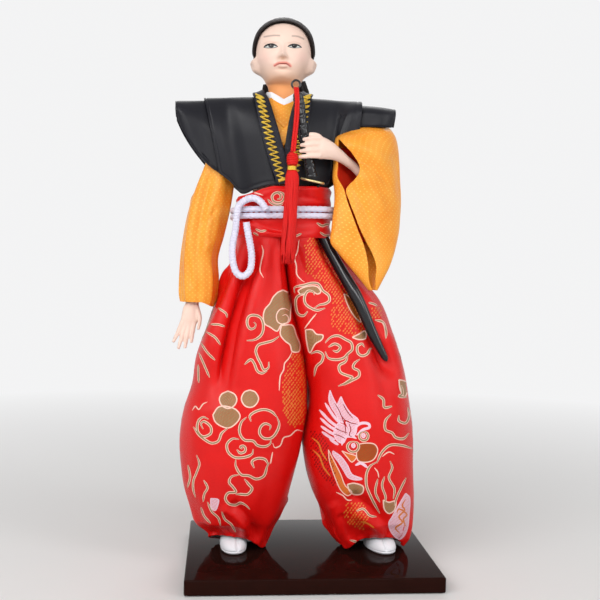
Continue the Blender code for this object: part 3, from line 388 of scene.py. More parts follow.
@dataclass(frozen=True)
class Finish:
    """One finish of the doll: two colours, its gloss and its small-scale surface."""

    name: str
    light: Colour
    dark: Colour
    roughness: float
    pattern: Pattern = Pattern.GRAIN
    pitch: float = 1.0
    relief: float = 0.05
    metallic: float = 0.0
    by_uv: bool = False
    sheen: float = 0.0
    coat: float = 0.0
    specular: float = 0.25
    blotch: float = 12.0
    painted: bool = False

    def build(self) -> bpy.types.Material:
        """Makes the material once and returns it."""
        label = self.name + "_finish"
        found = bpy.data.materials.get(label)
        if found:
            return found
        made = bpy.data.materials.new(label)
        made.use_nodes = True
        graph = Graph(made.node_tree)
        shader = made.node_tree.nodes["Principled BSDF"]
        source = graph.add("TexCoord")
        object_mm = graph.add("VectorMath:SCALE", i0=source.outputs["Object"])
        object_mm.inputs["Scale"].default_value = 1 / MM
        place = object_mm.outputs[0]
        if self.by_uv:
            uv_mm = graph.add("VectorMath:SCALE", i0=source.outputs["UV"])
            uv_mm.inputs["Scale"].default_value = 1 / UV_PER_MM
            place = uv_mm.outputs[0]
        small = graph.tree.nodes.new("ShaderNodeGroup")
        small.node_tree = PatternGroups.get(self.pattern)
        graph.tree.links.new(place, small.inputs["Place"])
        small.inputs["Pitch"].default_value = self.pitch
        broad = graph.add("TexNoise", Vector=object_mm.outputs[0], Scale=1 / self.blotch, Detail=2.0)
        drift = graph.math("MULTIPLY", broad.outputs["Fac"], 0.5)
        share = graph.add("Math:MULTIPLY_ADD", i0=small.outputs["Mask"], i1=0.55, i2=drift).outputs[0]
        colour = graph.mix(share, self.dark, self.light)
        # The painted colour read here holds the face paint with its painted shade and reflection.
        if self.painted:
            paint_and_shade = graph.add("VertexColor")
            paint_and_shade.layer_name = "paint_and_shade"
            colour = graph.mix(paint_and_shade.outputs["Alpha"], colour, paint_and_shade.outputs["Color"])
        graph.tree.links.new(colour, shader.inputs["Base Color"])
        gloss = graph.add("MapRange", i0=broad.outputs["Fac"], i1=0.3, i2=0.7)
        gloss.inputs[3].default_value = max(self.roughness - 0.05, 0.02)
        gloss.inputs[4].default_value = min(self.roughness + 0.06, 1.0)
        graph.tree.links.new(gloss.outputs[0], shader.inputs["Roughness"])
        bump = graph.add("Bump", Strength=0.6, Distance=self.relief * MM, Height=small.outputs["Height"])
        graph.tree.links.new(bump.outputs[0], shader.inputs["Normal"])
        shader.inputs["Metallic"].default_value = self.metallic
        shader.inputs["Sheen Weight"].default_value = self.sheen
        shader.inputs["Sheen Roughness"].default_value = 0.35
        shader.inputs["Coat Weight"].default_value = self.coat
        shader.inputs["Coat Roughness"].default_value = 0.08
        shader.inputs["Specular IOR Level"].default_value = self.specular
        return made


LACQUER = Finish("lacquer", (0.024, 0.007, 0.005), (0.012, 0.004, 0.003), 0.08, Pattern.GRAIN, 9.0, 0.004,
                 specular=0.02)
RED_BROCADE = Finish("red_brocade", (0.80, 0.008, 0.006), (0.56, 0.003, 0.003), 0.33, Pattern.SATIN, 0.34,
                     0.05, by_uv=True)
SCALE_RED = Finish("scale_red", (0.50, 0.035, 0.008), (0.36, 0.012, 0.005), 0.5, Pattern.THREAD, 0.5, 0.05)
YELLOW_SATIN = Finish("yellow_satin", (0.98, 0.62, 0.12), (0.88, 0.25, 0.007), 0.36, Pattern.DOTTED, 2.9,
                      0.12, by_uv=True)
RED_LINING = Finish("red_lining", (0.98, 0.06, 0.02), (0.92, 0.035, 0.014), 0.5, Pattern.PLAIN_WEAVE, 0.4,
                    0.04)
PALE_LINING = Finish("pale_lining", (0.46, 0.47, 0.46), (0.34, 0.34, 0.34), 0.75, Pattern.PLAIN_WEAVE,
                     0.5, 0.05)
BLACK_SATIN = Finish("black_satin", (0.007, 0.007, 0.012), (0.003, 0.003, 0.005), 0.40, Pattern.SATIN, 0.34,
                     0.01, by_uv=True, specular=0.23)
# Its light colour is the colour of the painted glints on its spangles; it also varies its tone at random.
BLACK_VELVET = Finish("black_velvet", (0.035, 0.032, 0.05), (0.003, 0.003, 0.005), 0.5, Pattern.SEQUIN, 0.55,
                      0.08, by_uv=True, specular=0.2)
GOLD_BRAID = Finish("gold_braid", (1.0, 0.80, 0.14), (0.72, 0.42, 0.03), 0.32, Pattern.THREAD, 0.35, 0.08,
                    by_uv=True)
WHITE_CORD = Finish("white_cord", (0.84, 0.82, 0.92), (0.62, 0.60, 0.76), 0.65, Pattern.THREAD, 0.5, 0.06,
                    by_uv=True, sheen=0.15)
WHITE_COTTON = Finish("white_cotton", (0.90, 0.90, 0.93), (0.82, 0.82, 0.86), 0.8, Pattern.PLAIN_WEAVE,
                      0.45, 0.05)
SKIN = Finish("skin", (0.86, 0.65, 0.55), (0.82, 0.59, 0.49), 0.45, Pattern.GRAIN, 0.8, 0.01, painted=True)
HAIR = Finish("hair", (0.016, 0.009, 0.008), (0.004, 0.002, 0.002), 0.40, Pattern.STRANDS, 0.4, 0.14,
              by_uv=True, specular=0.2)
RED_CORD = Finish("red_cord", (0.82, 0.012, 0.008), (0.55, 0.004, 0.004), 0.5, Pattern.THREAD, 0.45, 0.06,
                  by_uv=True)
BLACK_GLOSS = Finish("black_gloss", (0.012, 0.011, 0.013), (0.006, 0.006, 0.008), 0.16, Pattern.GRAIN, 6.0,
                     0.004, specular=0.4)
GILT = Finish("gilt", (0.86, 0.74, 0.40), (0.42, 0.32, 0.12), 0.3, Pattern.GRAIN, 1.2, 0.05, metallic=0.9)
WIRE = Finish("wire", (0.5, 0.5, 0.52), (0.3, 0.3, 0.32), 0.4, Pattern.GRAIN, 1.0, 0.02, metallic=0.9)
STUFFING = Finish("stuffing", (0.82, 0.78, 0.70), (0.7, 0.66, 0.58), 0.9, Pattern.GRAIN, 1.2, 0.2)
GOLD_THREAD = Finish("gold_thread", (0.46, 0.33, 0.16), (0.22, 0.14, 0.055), 0.40, Pattern.THREAD, 0.55,
                     0.08)
PALE_THREAD = Finish("pale_thread", (0.95, 0.70, 0.60), (0.82, 0.48, 0.38), 0.45, Pattern.THREAD, 0.5, 0.06)
SILVER_THREAD = Finish("silver_thread", (0.92, 0.72, 0.80), (0.80, 0.45, 0.55), 0.4, Pattern.THREAD, 0.6,
                       0.06)
EMBER_THREAD = Finish("ember_thread", (0.86, 0.30, 0.05), (0.62, 0.13, 0.02), 0.4, Pattern.THREAD, 0.5, 0.06)
AMBER_THREAD = Finish("amber_thread", (0.44, 0.13, 0.015), (0.26, 0.05, 0.008), 0.42, Pattern.THREAD, 0.6,
                      0.08)
UMBER_THREAD = Finish("umber_thread", (0.40, 0.008, 0.006), (0.28, 0.004, 0.003), 0.5, Pattern.THREAD, 0.5,
                      0.05)
EYE_WHITE = Finish("eye_white", (0.70, 0.72, 0.68), (0.52, 0.54, 0.52), 0.25, Pattern.GRAIN, 1.0, 0.002)
EYE_BLACK = Finish("eye_black", (0.012, 0.012, 0.014), (0.006, 0.006, 0.007), 0.2, Pattern.GRAIN, 1.0, 0.002)


class Bench:
    """The workbench: adds a primitive, shapes it, gives it its wall and hands the finished piece over."""

    @staticmethod
    def fresh() -> None:
        """Leaves nothing selected."""
        if bpy.context.mode != "OBJECT":
            bpy.ops.object.mode_set(mode="OBJECT")
        bpy.ops.object.select_all(action="DESELECT")

    @classmethod
    def grid(cls, name: str, points: np.ndarray, uv: np.ndarray | None = None,
             outward: Point | None = None) -> bpy.types.Object:
        """Lays a grid primitive over rows of places and closes its seams and poles.

        Args:
            name: the piece's name.
            points: rows by columns by three, in millimetres. Equal places are merged.
            uv: rows by columns by two in millimetres, measured along the grid if left out.
            outward: for an open sheet, a point on the side its faces turn away from.

        Returns:
            The grid as an object at the origin.
        """
        cls.fresh()
        rows, columns = points.shape[:2]
        bpy.ops.mesh.primitive_grid_add(x_subdivisions=columns - 1, y_subdivisions=rows - 1, size=1.0)
        made = bpy.context.object
        made.name = name
        mesh = made.data
        mesh.name = name
        if len(mesh.vertices) != rows * columns:
            raise RuntimeError(f"{name}: the grid has {len(mesh.vertices)} points, not {rows * columns}")
        mesh.vertices.foreach_set("co", (points * MM).astype(np.float32).reshape(-1))
        if uv is None:
            steps_u = np.linalg.norm(np.diff(points, axis=1), axis=2).mean(axis=0)
            steps_v = np.linalg.norm(np.diff(points, axis=0), axis=2).mean(axis=1)
            u = np.concatenate([[0], np.cumsum(steps_u)])
            v = np.concatenate([[0], np.cumsum(steps_v)])
            uv = np.stack(np.broadcast_arrays(u[None, :], v[:, None]), axis=-1)
        corner = np.empty(len(mesh.loops), np.int64)
        mesh.loops.foreach_get("vertex_index", corner)
        flat = (uv.reshape(-1, 2)[corner] * UV_PER_MM).astype(np.float32)
        mesh.uv_layers[0].data.foreach_set("uv", flat.reshape(-1))
        bpy.ops.object.mode_set(mode="EDIT")
        bpy.ops.mesh.select_all(action="SELECT")
        bpy.ops.mesh.remove_doubles(threshold=1e-6)
        if outward is None:
            bpy.ops.mesh.normals_make_consistent(inside=False)
        bpy.ops.object.mode_set(mode="OBJECT")
        if outward is not None:
            cls.face_away(made, outward)
        bpy.ops.object.shade_smooth()
        return made

    @staticmethod
    def face_away(made: bpy.types.Object, point: Point) -> None:
        """Turns the faces of an open sheet away from a point, if most look at it."""
        mesh = made.data
        centres = np.empty(len(mesh.polygons) * 3)
        normals = np.empty(len(mesh.polygons) * 3)
        mesh.polygons.foreach_get("center", centres)
        mesh.polygons.foreach_get("normal", normals)
        away = centres.reshape(-1, 3) - np.array(point) * MM
        if (away * normals.reshape(-1, 3)).sum() < 0:
            bpy.ops.object.mode_set(mode="EDIT")
            bpy.ops.mesh.select_all(action="SELECT")
            bpy.ops.mesh.flip_normals()
            bpy.ops.object.mode_set(mode="OBJECT")

    @staticmethod
    def applied(made: bpy.types.Object, kind: str, **settings: object) -> bpy.types.Object:
        """Adds a modifier with its settings and applies it."""
        bpy.context.view_layer.objects.active = made
        made.select_set(True)
        bpy.ops.object.modifier_add(type=kind)
        step = made.modifiers[-1]
        for key, value in settings.items():
            setattr(step, key, value)
        bpy.ops.object.modifier_apply(modifier=step.name)
        return made

    @classmethod
    def wall(cls, made: bpy.types.Object, thickness: float, offset: float = -1.0,
             inner: int = 0) -> bpy.types.Object:
        """Gives cloth its thickness in millimetres, with the inner face in the given material slot."""
        return cls.applied(made, "SOLIDIFY", thickness=thickness * MM, offset=offset, use_rim=True,
                           material_offset=inner)

    @classmethod
    def soften(cls, made: bpy.types.Object, width: float, segments: int = 2) -> bpy.types.Object:
        """Rounds the sharp edges of a cloth wall, width in millimetres."""
        return cls.applied(made, "BEVEL", width=width * MM, segments=segments, limit_method="ANGLE",
                           angle_limit=math.radians(50))

    @classmethod
    def tube(cls, name: str, path: np.ndarray, wide: np.ndarray | float,
             deep: np.ndarray | float | None = None,
             sides: int = 16, side: Point = (1.0, 0.0, 0.0), relief: np.ndarray | None = None,
             closed: bool = False) -> bpy.types.Object:
        """Rod along a path with rounded or closed ends.

        Args:
            name: the piece's name.
            path: its centre line in millimetres.
            wide: radius along the side direction, one number or one a point.
            deep: radius across it, the same as wide if left out.
            sides: how many flats it has round it.
            side: the direction that wide is measured in.
            relief: rows by columns added to the radius, for plaits and ribs.
            closed: whether the path runs back into its start.

        Returns:
            The closed rod.
        """
        count = len(path)
        wide = np.broadcast_to(np.asarray(wide, float), (count,))
        deep = wide if deep is None else np.broadcast_to(np.asarray(deep, float), (count,))
        if closed:
            tangent = np.roll(path, -1, axis=0) - np.roll(path, 1, axis=0)
        else:
            tangent = np.gradient(path, axis=0)
        tangent /= np.linalg.norm(tangent, axis=1, keepdims=True)
        across = np.empty((count, 3))
        reference = np.asarray(side, float)
        for i in range(count):
            turned = reference - tangent[i] * np.dot(reference, tangent[i])
            across[i] = turned / np.linalg.norm(turned)
            if not closed:
                reference = across[i]
        other = np.cross(tangent, across)
        angle = np.linspace(0, 2 * math.pi, sides + 1)
        grown = 0.0 if relief is None else relief
        c = np.cos(angle)[None, :] * (wide[:, None] + grown)
        s = np.sin(angle)[None, :] * (deep[:, None] + grown)
        rings = path[:, None, :] + c[..., None] * across[:, None, :] + s[..., None] * other[:, None, :]
        rings[:, -1] = rings[:, 0]
        reach = distances(path)
        if closed:
            rings = np.concatenate([rings, rings[:1]])
            reach = np.append(reach, reach[-1] + np.linalg.norm(path[0] - path[-1]))
        else:
            first = np.broadcast_to(path[0], rings[0].shape)[None]
            last = np.broadcast_to(path[-1], rings[0].shape)[None]
            rings = np.concatenate([first, rings, last])
            reach = np.concatenate([[0], reach, reach[-1:]])
        round_mm = angle * float(wide.mean())
        uv = np.stack(np.broadcast_arrays(round_mm[None, :], reach[:, None]), axis=-1)
        return cls.grid(name, rings, uv)

    @classmethod
    def merged(cls, name: str, pieces: Sequence[bpy.types.Object]) -> bpy.types.Object:
        """Joins objects into one of that name."""
        cls.fresh()
        for piece in pieces:
            piece.select_set(True)
        bpy.context.view_layer.objects.active = pieces[0]
        bpy.ops.object.join()
        pieces[0].name = name
        pieces[0].data.name = name
        return pieces[0]

    @staticmethod
    def deliver(made: bpy.types.Object, finishes: Sequence[Finish],
                nodes: Sequence[str] = ()) -> bpy.types.Object:
        """Dresses a finished piece and lets it stand for its nodes.

        Args:
            made: the piece.
            finishes: its material slots in order.
            nodes: the CAD nodes it replaces.

        Returns:
            The piece.
        """
        made.data.materials.clear()
        for finish in finishes:
            made.data.materials.append(finish.build())
        if nodes:
            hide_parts(*nodes)
        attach(made, "root")
        log.info("%s: %d faces", made.name, len(made.data.polygons))
        return made


class Embroidery:
    """Woven ornament: strokes drawn over the picture's frame and laid on the cloth as flat threads.

    Attributes:
        facing: cosine above which cloth turns too far from the camera to be worked.
        reached: cosine below which an earlier side's strokes reach a place.
        step: pixels between the points of a thread.
        gap: metres between two points over which a thread is broken off.
    """

    facing, reached = -0.05, -0.12
    step = 1.3
    gap = 0.006

    def __init__(self, cloths: Sequence[bpy.types.Object], lift: float = 0.12) -> None:
        """Takes the finished cloth pieces that the threads lie on."""
        corners: list[Vector] = []
        faces: list[tuple[int, ...]] = []
        for cloth in cloths:
            start = len(corners)
            corners += [vertex.co.copy() for vertex in cloth.data.vertices]
            faces += [tuple(index + start for index in face.vertices) for face in cloth.data.polygons]
        self.corners, self.faces = corners, faces
        self.lift = lift
        self.centre = (0.0, 0.0)
        self.turn = 0.0
        self.covered: list[Matrix] = []
        self.tree = BVHTree.FromPolygons(corners, faces)
        self.points: list[tuple[float, float, float]] = []
        self.polygons: list[tuple[int, ...]] = []
        self.threads: list[int] = []

    def aim(self, centre: tuple[float, float], degrees: float) -> None:
        """Turns the cloth about an upright line, so that the same strokes fall on a side not yet worked."""
        self.centre, self.turn = centre, math.radians(degrees)
        spin = self._spin(self.turn)
        self.covered.append(spin)
        self.tree = BVHTree.FromPolygons([spin @ corner for corner in self.corners], self.faces)

    def _spin(self, angle: float) -> Matrix:
        """Turn about the upright line through the centre."""
        to = Matrix.Translation((self.centre[0] * MM, self.centre[1] * MM, 0))
        return to @ Matrix.Rotation(angle, 4, "Z") @ to.inverted()

    def cast(self, pixels: np.ndarray, lift: float) -> list[Vector | None]:
        """Places on the cloth behind the given pixels, a little above it."""
        origin = Vector(VIEW.place) * MM
        back = self._spin(-self.turn)
        found: list[Vector | None] = []
        for way in VIEW.rays(pixels):
            direction = Vector(way)
            hit, normal, _, _ = self.tree.ray_cast(origin, direction)
            if hit is None or normal.dot(direction) > self.facing or self.worked(back, hit, normal, origin):
                found.append(None)
            else:
                found.append(back @ (hit + normal * lift * MM))
        return found

    def worked(self, back: Matrix, hit: Vector, normal: Vector, origin: Vector) -> bool:
        """Whether an earlier side's strokes already reach this place."""
        for spin in self.covered[:-1]:
            both = spin @ back
            if (both.to_3x3() @ normal).dot((both @ hit - origin).normalized()) < self.reached:
                return True
        return False

    def stroke(self, thread: int, pixels: Stroke, width: float, lift: float = 0.0, closed: bool = False,
               taper: bool = True) -> None:
        """Lays one thread.

        Args:
            thread: index of its finish.
            pixels: the line it follows, in pixels of the picture.
            width: in pixels.
            lift: millimetres added above the others.
            closed: whether it runs back into its start.
            taper: whether its ends narrow.
        """
        line = np.asarray(pixels, float)
        if closed:
            line = np.vstack([line, line[:1]])
        count = max(3, int(length_of(line) / self.step) + 1)
        line = along(line, count)
        tangent = np.gradient(line, axis=0)
        tangent /= np.maximum(np.linalg.norm(tangent, axis=1, keepdims=True), 1e-6)
        normal = np.column_stack([-tangent[:, 1], tangent[:, 0]])
        half = np.full(count, width / 2)
        if taper and not closed:
            share = np.linspace(0, 1, count)
            half *= 0.35 + 0.65 * np.minimum(1, np.minimum(share, 1 - share) * 6)
        offsets = np.array([-1.0, 0.0, 1.0])
        spots = line[:, None, :] + normal[:, None, :] * (half[:, None] * offsets)[..., None]
        hits = self.cast(spots.reshape(-1, 2), self.lift + lift)
        before: int | None = None
        for i in range(count):
            row = hits[3 * i:3 * i + 3]
            if any(place is None for place in row):
                before = None
                continue
            start = len(self.points)
            raised = 0.5 * self.lift * MM
            crest = row[1] + (row[1] - (row[0] + row[2]) / 2) * 0.5
            self.points += [tuple(row[0]), tuple(crest), tuple(row[2])]
            near = (before is not None
                    and (Vector(self.points[before + 1]) - row[1]).length < self.gap + raised)
            if near:
                for k in (0, 1):
                    self.polygons.append((before + k, before + k + 1, start + k + 1, start + k))
                    self.threads.append(thread)
            before = start

    def edged(self, inner: int, edge: int, pixels: Stroke, width: float, closed: bool = False,
              lift: float = 0.0) -> None:
        """A broad thread with a pale one along each side."""
        self.stroke(edge, pixels, width, lift, closed)
        self.stroke(inner, pixels, width * 0.48, lift + 0.05, closed)

    def patch(self, thread: int, outline: Stroke, lift: float = 0.0, rings: int = 5) -> None:
        """Fills a rounded outline with one smooth patch."""
        line = np.asarray(outline, float)
        line = along(np.vstack([line, line[:1]]), max(16, int(length_of(line))))[:-1]
        middle = line.mean(axis=0)
        shares = np.linspace(0, 1, rings + 1)[1:]
        spots = np.concatenate([[middle]] + [middle + (line - middle) * share for share in shares])
        hits = self.cast(spots, self.lift + lift)
        if any(place is None for place in hits):
            return
        start, count = len(self.points), len(line)
        self.points += [tuple(place) for place in hits]
        for k in range(rings):
            for j in range(count):
                after = (j + 1) % count
                outer = start + 1 + k * count
                if k == 0:
                    self.polygons.append((start, outer + j, outer + after))
                else:
                    inner = outer - count
                    self.polygons.append((inner + j, outer + j, outer + after, inner + after))
                self.threads.append(thread)

    def hatch(self, thread: int, outline: Stroke, pitch: float, width: float, slope: float = 0.0,
              lift: float = 0.0) -> None:
        """Fills an outline with close parallel threads, pitch pixels apart."""
        line = np.asarray(outline, float)
        smooth = along(np.vstack([line, line[:1]]), max(24, int(length_of(line) / 1.5)))
        c, s = math.cos(slope), math.sin(slope)
        local = smooth @ np.array([[c, -s], [s, c]])
        for level in np.arange(local[:, 1].min() + pitch / 2, local[:, 1].max(), pitch):
            a, b = local[:-1], local[1:]
            crossing = (a[:, 1] - level) * (b[:, 1] - level) < 0
            t = (level - a[crossing, 1]) / (b[crossing, 1] - a[crossing, 1])
            xs = np.sort(a[crossing, 0] + t * (b[crossing, 0] - a[crossing, 0]))
            for low, high in zip(xs[::2], xs[1::2]):
                if high - low > 0.8:
                    ends = np.array([[low, level], [(low + high) / 2, level], [high, level]])
                    self.stroke(thread, ends @ np.array([[c, s], [-s, c]]), width, lift, taper=False)

    def dashes(self, thread: int, outline: Stroke, pitch: tuple[float, float], size: tuple[float, float],
               slope: float, seed: int, keep: float = 1.0) -> None:
        """Scatters short stitches in staggered rows inside an outline.

        Args:
            thread: index of the finish.
            outline: the area, in pixels.
            pitch: spacing along and between the rows.
            size: length and width of one stitch.
            slope: angle of the stitches.
            seed: fixes the small unevenness.
            keep: the share of stitches that are there.
        """
        chance = np.random.default_rng(seed)
        line = np.asarray(outline, float)
        low, high = line.min(axis=0), line.max(axis=0)
        way = np.array([math.cos(slope), math.sin(slope)]) * size[0] / 2
        for row, y in enumerate(np.arange(low[1], high[1], pitch[1])):
            for x in np.arange(low[0] + pitch[0] * 0.5 * (row % 2), high[0], pitch[0]):
                spot = np.array([x, y]) + chance.uniform(-0.35, 0.35, 2)
                there = chance.uniform() < keep
                if there and self.inside(spot, line):
                    self.stroke(thread, [spot - way, spot, spot + way], size[1])

    @staticmethod
    def inside(spot: np.ndarray, line: np.ndarray) -> bool:
        """Whether a pixel lies in a closed outline."""
        after = np.roll(line, -1, axis=0)
        level = (line[:, 1] > spot[1]) != (after[:, 1] > spot[1])
        rise = np.where(level, after[:, 1] - line[:, 1], 1.0)
        x = line[:, 0] + (spot[1] - line[:, 1]) / rise * (after[:, 0] - line[:, 0])
        return bool((level & (spot[0] < x)).sum() % 2)

    def build(self, name: str, finishes: Sequence[Finish]) -> bpy.types.Object:
        """Makes the threads one piece.

        They are thousands of strips whose places come from the cloth, so they are stored as a mesh
        directly and not drawn out of a primitive.
        """
        Bench.fresh()
        mesh = bpy.data.meshes.new(name)
        mesh.from_pydata(self.points, [], self.polygons)
        made = bpy.data.objects.new(name, mesh)
        bpy.context.scene.collection.objects.link(made)
        Bench.deliver(made, finishes)
        mesh.polygons.foreach_set("material_index", self.threads)
        mesh.shade_smooth()
        self.turn_outwards(made)
        return made

    def turn_outwards(self, made: bpy.types.Object) -> None:
        """Turns each thread's faces the way of the cloth below."""
        ground = BVHTree.FromPolygons(self.corners, self.faces)
        turned = [face.index for face in made.data.polygons
                  if face.normal.dot(ground.find_nearest(face.center)[1]) < 0]
        if turned:
            for face in made.data.polygons:
                face.select = False
            for index in turned:
                made.data.polygons[index].select = True
            bpy.context.view_layer.objects.active = made
            bpy.ops.object.mode_set(mode="EDIT")
            bpy.ops.mesh.flip_normals()
            bpy.ops.object.mode_set(mode="OBJECT")


@dataclass(frozen=True)
class Crease:
    """A fold line on cloth as the picture shows it: a ridge where the depth is positive, else a valley."""

    line: tuple[tuple[float, float], ...]
    depth: float
    width: float

    def at(self, pixels: np.ndarray) -> np.ndarray:
        """Height of the fold at each pixel, in millimetres."""
        count = max(4, int(length_of(np.asarray(self.line)) / 7))
        best, share = nearest(pixels, along(self.line, count))
        fade = ramp(share, 0.0, 0.16) * (1 - ramp(share, 0.70, 1.0))
        return self.depth * fade * np.exp(-((best / self.width) ** 2))


class Cloth:
    """Shapes shared by the doll's cloth pieces."""

    @staticmethod
    def normals(points: np.ndarray, outward: np.ndarray) -> np.ndarray:
        """Unit normals of a grid of points, turned away from the given middle line."""
        along_u = np.gradient(points, axis=1)
        along_v = np.gradient(points, axis=0)
        found = np.cross(along_u, along_v)
        found /= np.maximum(np.linalg.norm(found, axis=2, keepdims=True), 1e-9)
        facing = ((points - outward) * found).sum(axis=2, keepdims=True)
        return found * np.where(facing < 0, -1.0, 1.0)

    @classmethod
    def creased(cls, points: np.ndarray, creases: Sequence[Crease], centre: tuple[float, float],
                turns: Sequence[float] = (0.0,)) -> np.ndarray:
        """Moves the cloth in and out along its folds.

        Args:
            points: rows by columns by three, in millimetres.
            creases: the folds, in pixels of the picture.
            centre: the upright middle line of the piece.
            turns: degrees by which the same folds are repeated round that line.

        Returns:
            The moved points.
        """
        middle = placed(centre[0], centre[1], points[..., 2])
        normal = cls.normals(points, middle)
        height = np.zeros(points.shape[:2])
        left = np.ones(points.shape[:2])
        for degrees in turns:
            c, s = math.cos(math.radians(degrees)), math.sin(math.radians(degrees))
            spin = np.array([[c, -s, 0], [s, c, 0], [0, 0, 1]])
            turned = (points - middle) @ spin.T + middle
            sight = np.array(VIEW.place) - turned
            sight /= np.linalg.norm(sight, axis=2, keepdims=True)
            facing = ((normal @ spin.T) * sight).sum(axis=2)
            weight = ramp(facing, 0.05, 0.35) * left
            left = left * (1 - ramp(facing, 0.15, 0.5))
            pixels = VIEW.pixels(turned)
            height += weight * sum(crease.at(pixels) for crease in creases)
        return points + normal * height[..., None]

    @staticmethod
    def cut_size(points: np.ndarray) -> tuple[float, float]:
        """Width and length in metres of the cloth a grid of points was cut from, turned edges included."""
        width = np.linalg.norm(np.diff(points, axis=1), axis=2).sum(axis=1).mean() + TURNED_EDGES
        length = np.linalg.norm(np.diff(points, axis=0), axis=2).sum(axis=0).mean() + TURNED_EDGES
        return float(width) * MM, float(length) * MM

    @classmethod
    def declare(cls, made: bpy.types.Object, points: np.ndarray, held: str, on: Sequence[str]) -> None:
        """Works out the size of cloth a grid of points was cut from; the result is not kept."""
        cls.cut_size(points)


@dataclass(frozen=True)
class Plinth:
    """The glossy board that the doll stands on."""

    width: float = 132.0
    depth: float = 112.0
    height: float = 8.0
    edge: float = 0.9

    def build(self) -> None:
        """Makes the board with its softened edges."""
        Bench.fresh()
        bpy.ops.mesh.primitive_cube_add(size=MM, location=(0, 0, self.height / 2 * MM))
        board = bpy.context.object
        board.name = "plinth_board"
        board.scale = (self.width, self.depth, self.height)
        bpy.ops.object.transform_apply(location=True, rotation=True, scale=True)
        bpy.ops.object.mode_set(mode="EDIT")
        bpy.ops.mesh.select_all(action="SELECT")
        bpy.ops.mesh.bevel(offset=self.edge * MM, segments=4, affect="EDGES")
        bpy.ops.object.mode_set(mode="OBJECT")
        bpy.ops.object.shade_smooth_by_angle(angle=math.radians(35))
        Bench.deliver(board, [LACQUER], ["base_plinth"])


@dataclass(frozen=True)
class Foot:
    """A white split-toe sock, domed at the front."""

    name: str
    x: float
    y: float
    turn: float
    rows: Rows = ((8.3, 0.0, 6.2, 12.2), (9.4, 0.0, 7.1, 13.2), (12.0, 0.2, 7.3, 13.0),
                  (14.4, 1.2, 6.9, 11.4), (16.4, 2.8, 6.2, 9.0), (19.0, 4.4, 5.4, 6.8),
                  (24.0, 5.6, 4.6, 5.0), (34.3, 6.6, 4.3, 4.6))

    def build(self) -> None:
        """Makes the sock with its sole seam and the split beside the big toe."""
        table = Profile(self.rows)
        z = np.concatenate([np.linspace(8.3, 20.0, 60), np.linspace(20.5, 34.3, 20)])[:, None]
        angle = full_turn(97)
        x, y = superellipse(angle, 2.3)
        half_x, half_y, shift = table.read(z, 2), table.read(z, 3), table.read(z, 1)
        seam = 1 - 0.03 * bell(z, 9.9, 0.35)
        x, y = x * half_x * seam, y * half_y * seam + shift
        toward = 1 if self.x > 0 else -1
        split = bell(x, -1.6 * toward, 0.7) * ramp(-y, 4.0, 10.0) * ramp(z, 9.5, 11.5)
        y = y + 1.1 * split
        z = z - 0.7 * split
        c, s = math.cos(self.turn), math.sin(self.turn)
        rings = placed(self.x + x * c - y * s, self.y + x * s + y * c, z)
        rings[:, -1] = rings[:, 0]
        low, high = rings[0].mean(axis=0), rings[-1].mean(axis=0)
        low[2] = rings[0, 0, 2]
        ends = [np.broadcast_to(end, rings[0].shape)[None] for end in (low, high)]
        made = Bench.grid(self.name + "_sock", np.concatenate([ends[0], rings, ends[1]]))
        Bench.deliver(made, [WHITE_COTTON], [self.name])


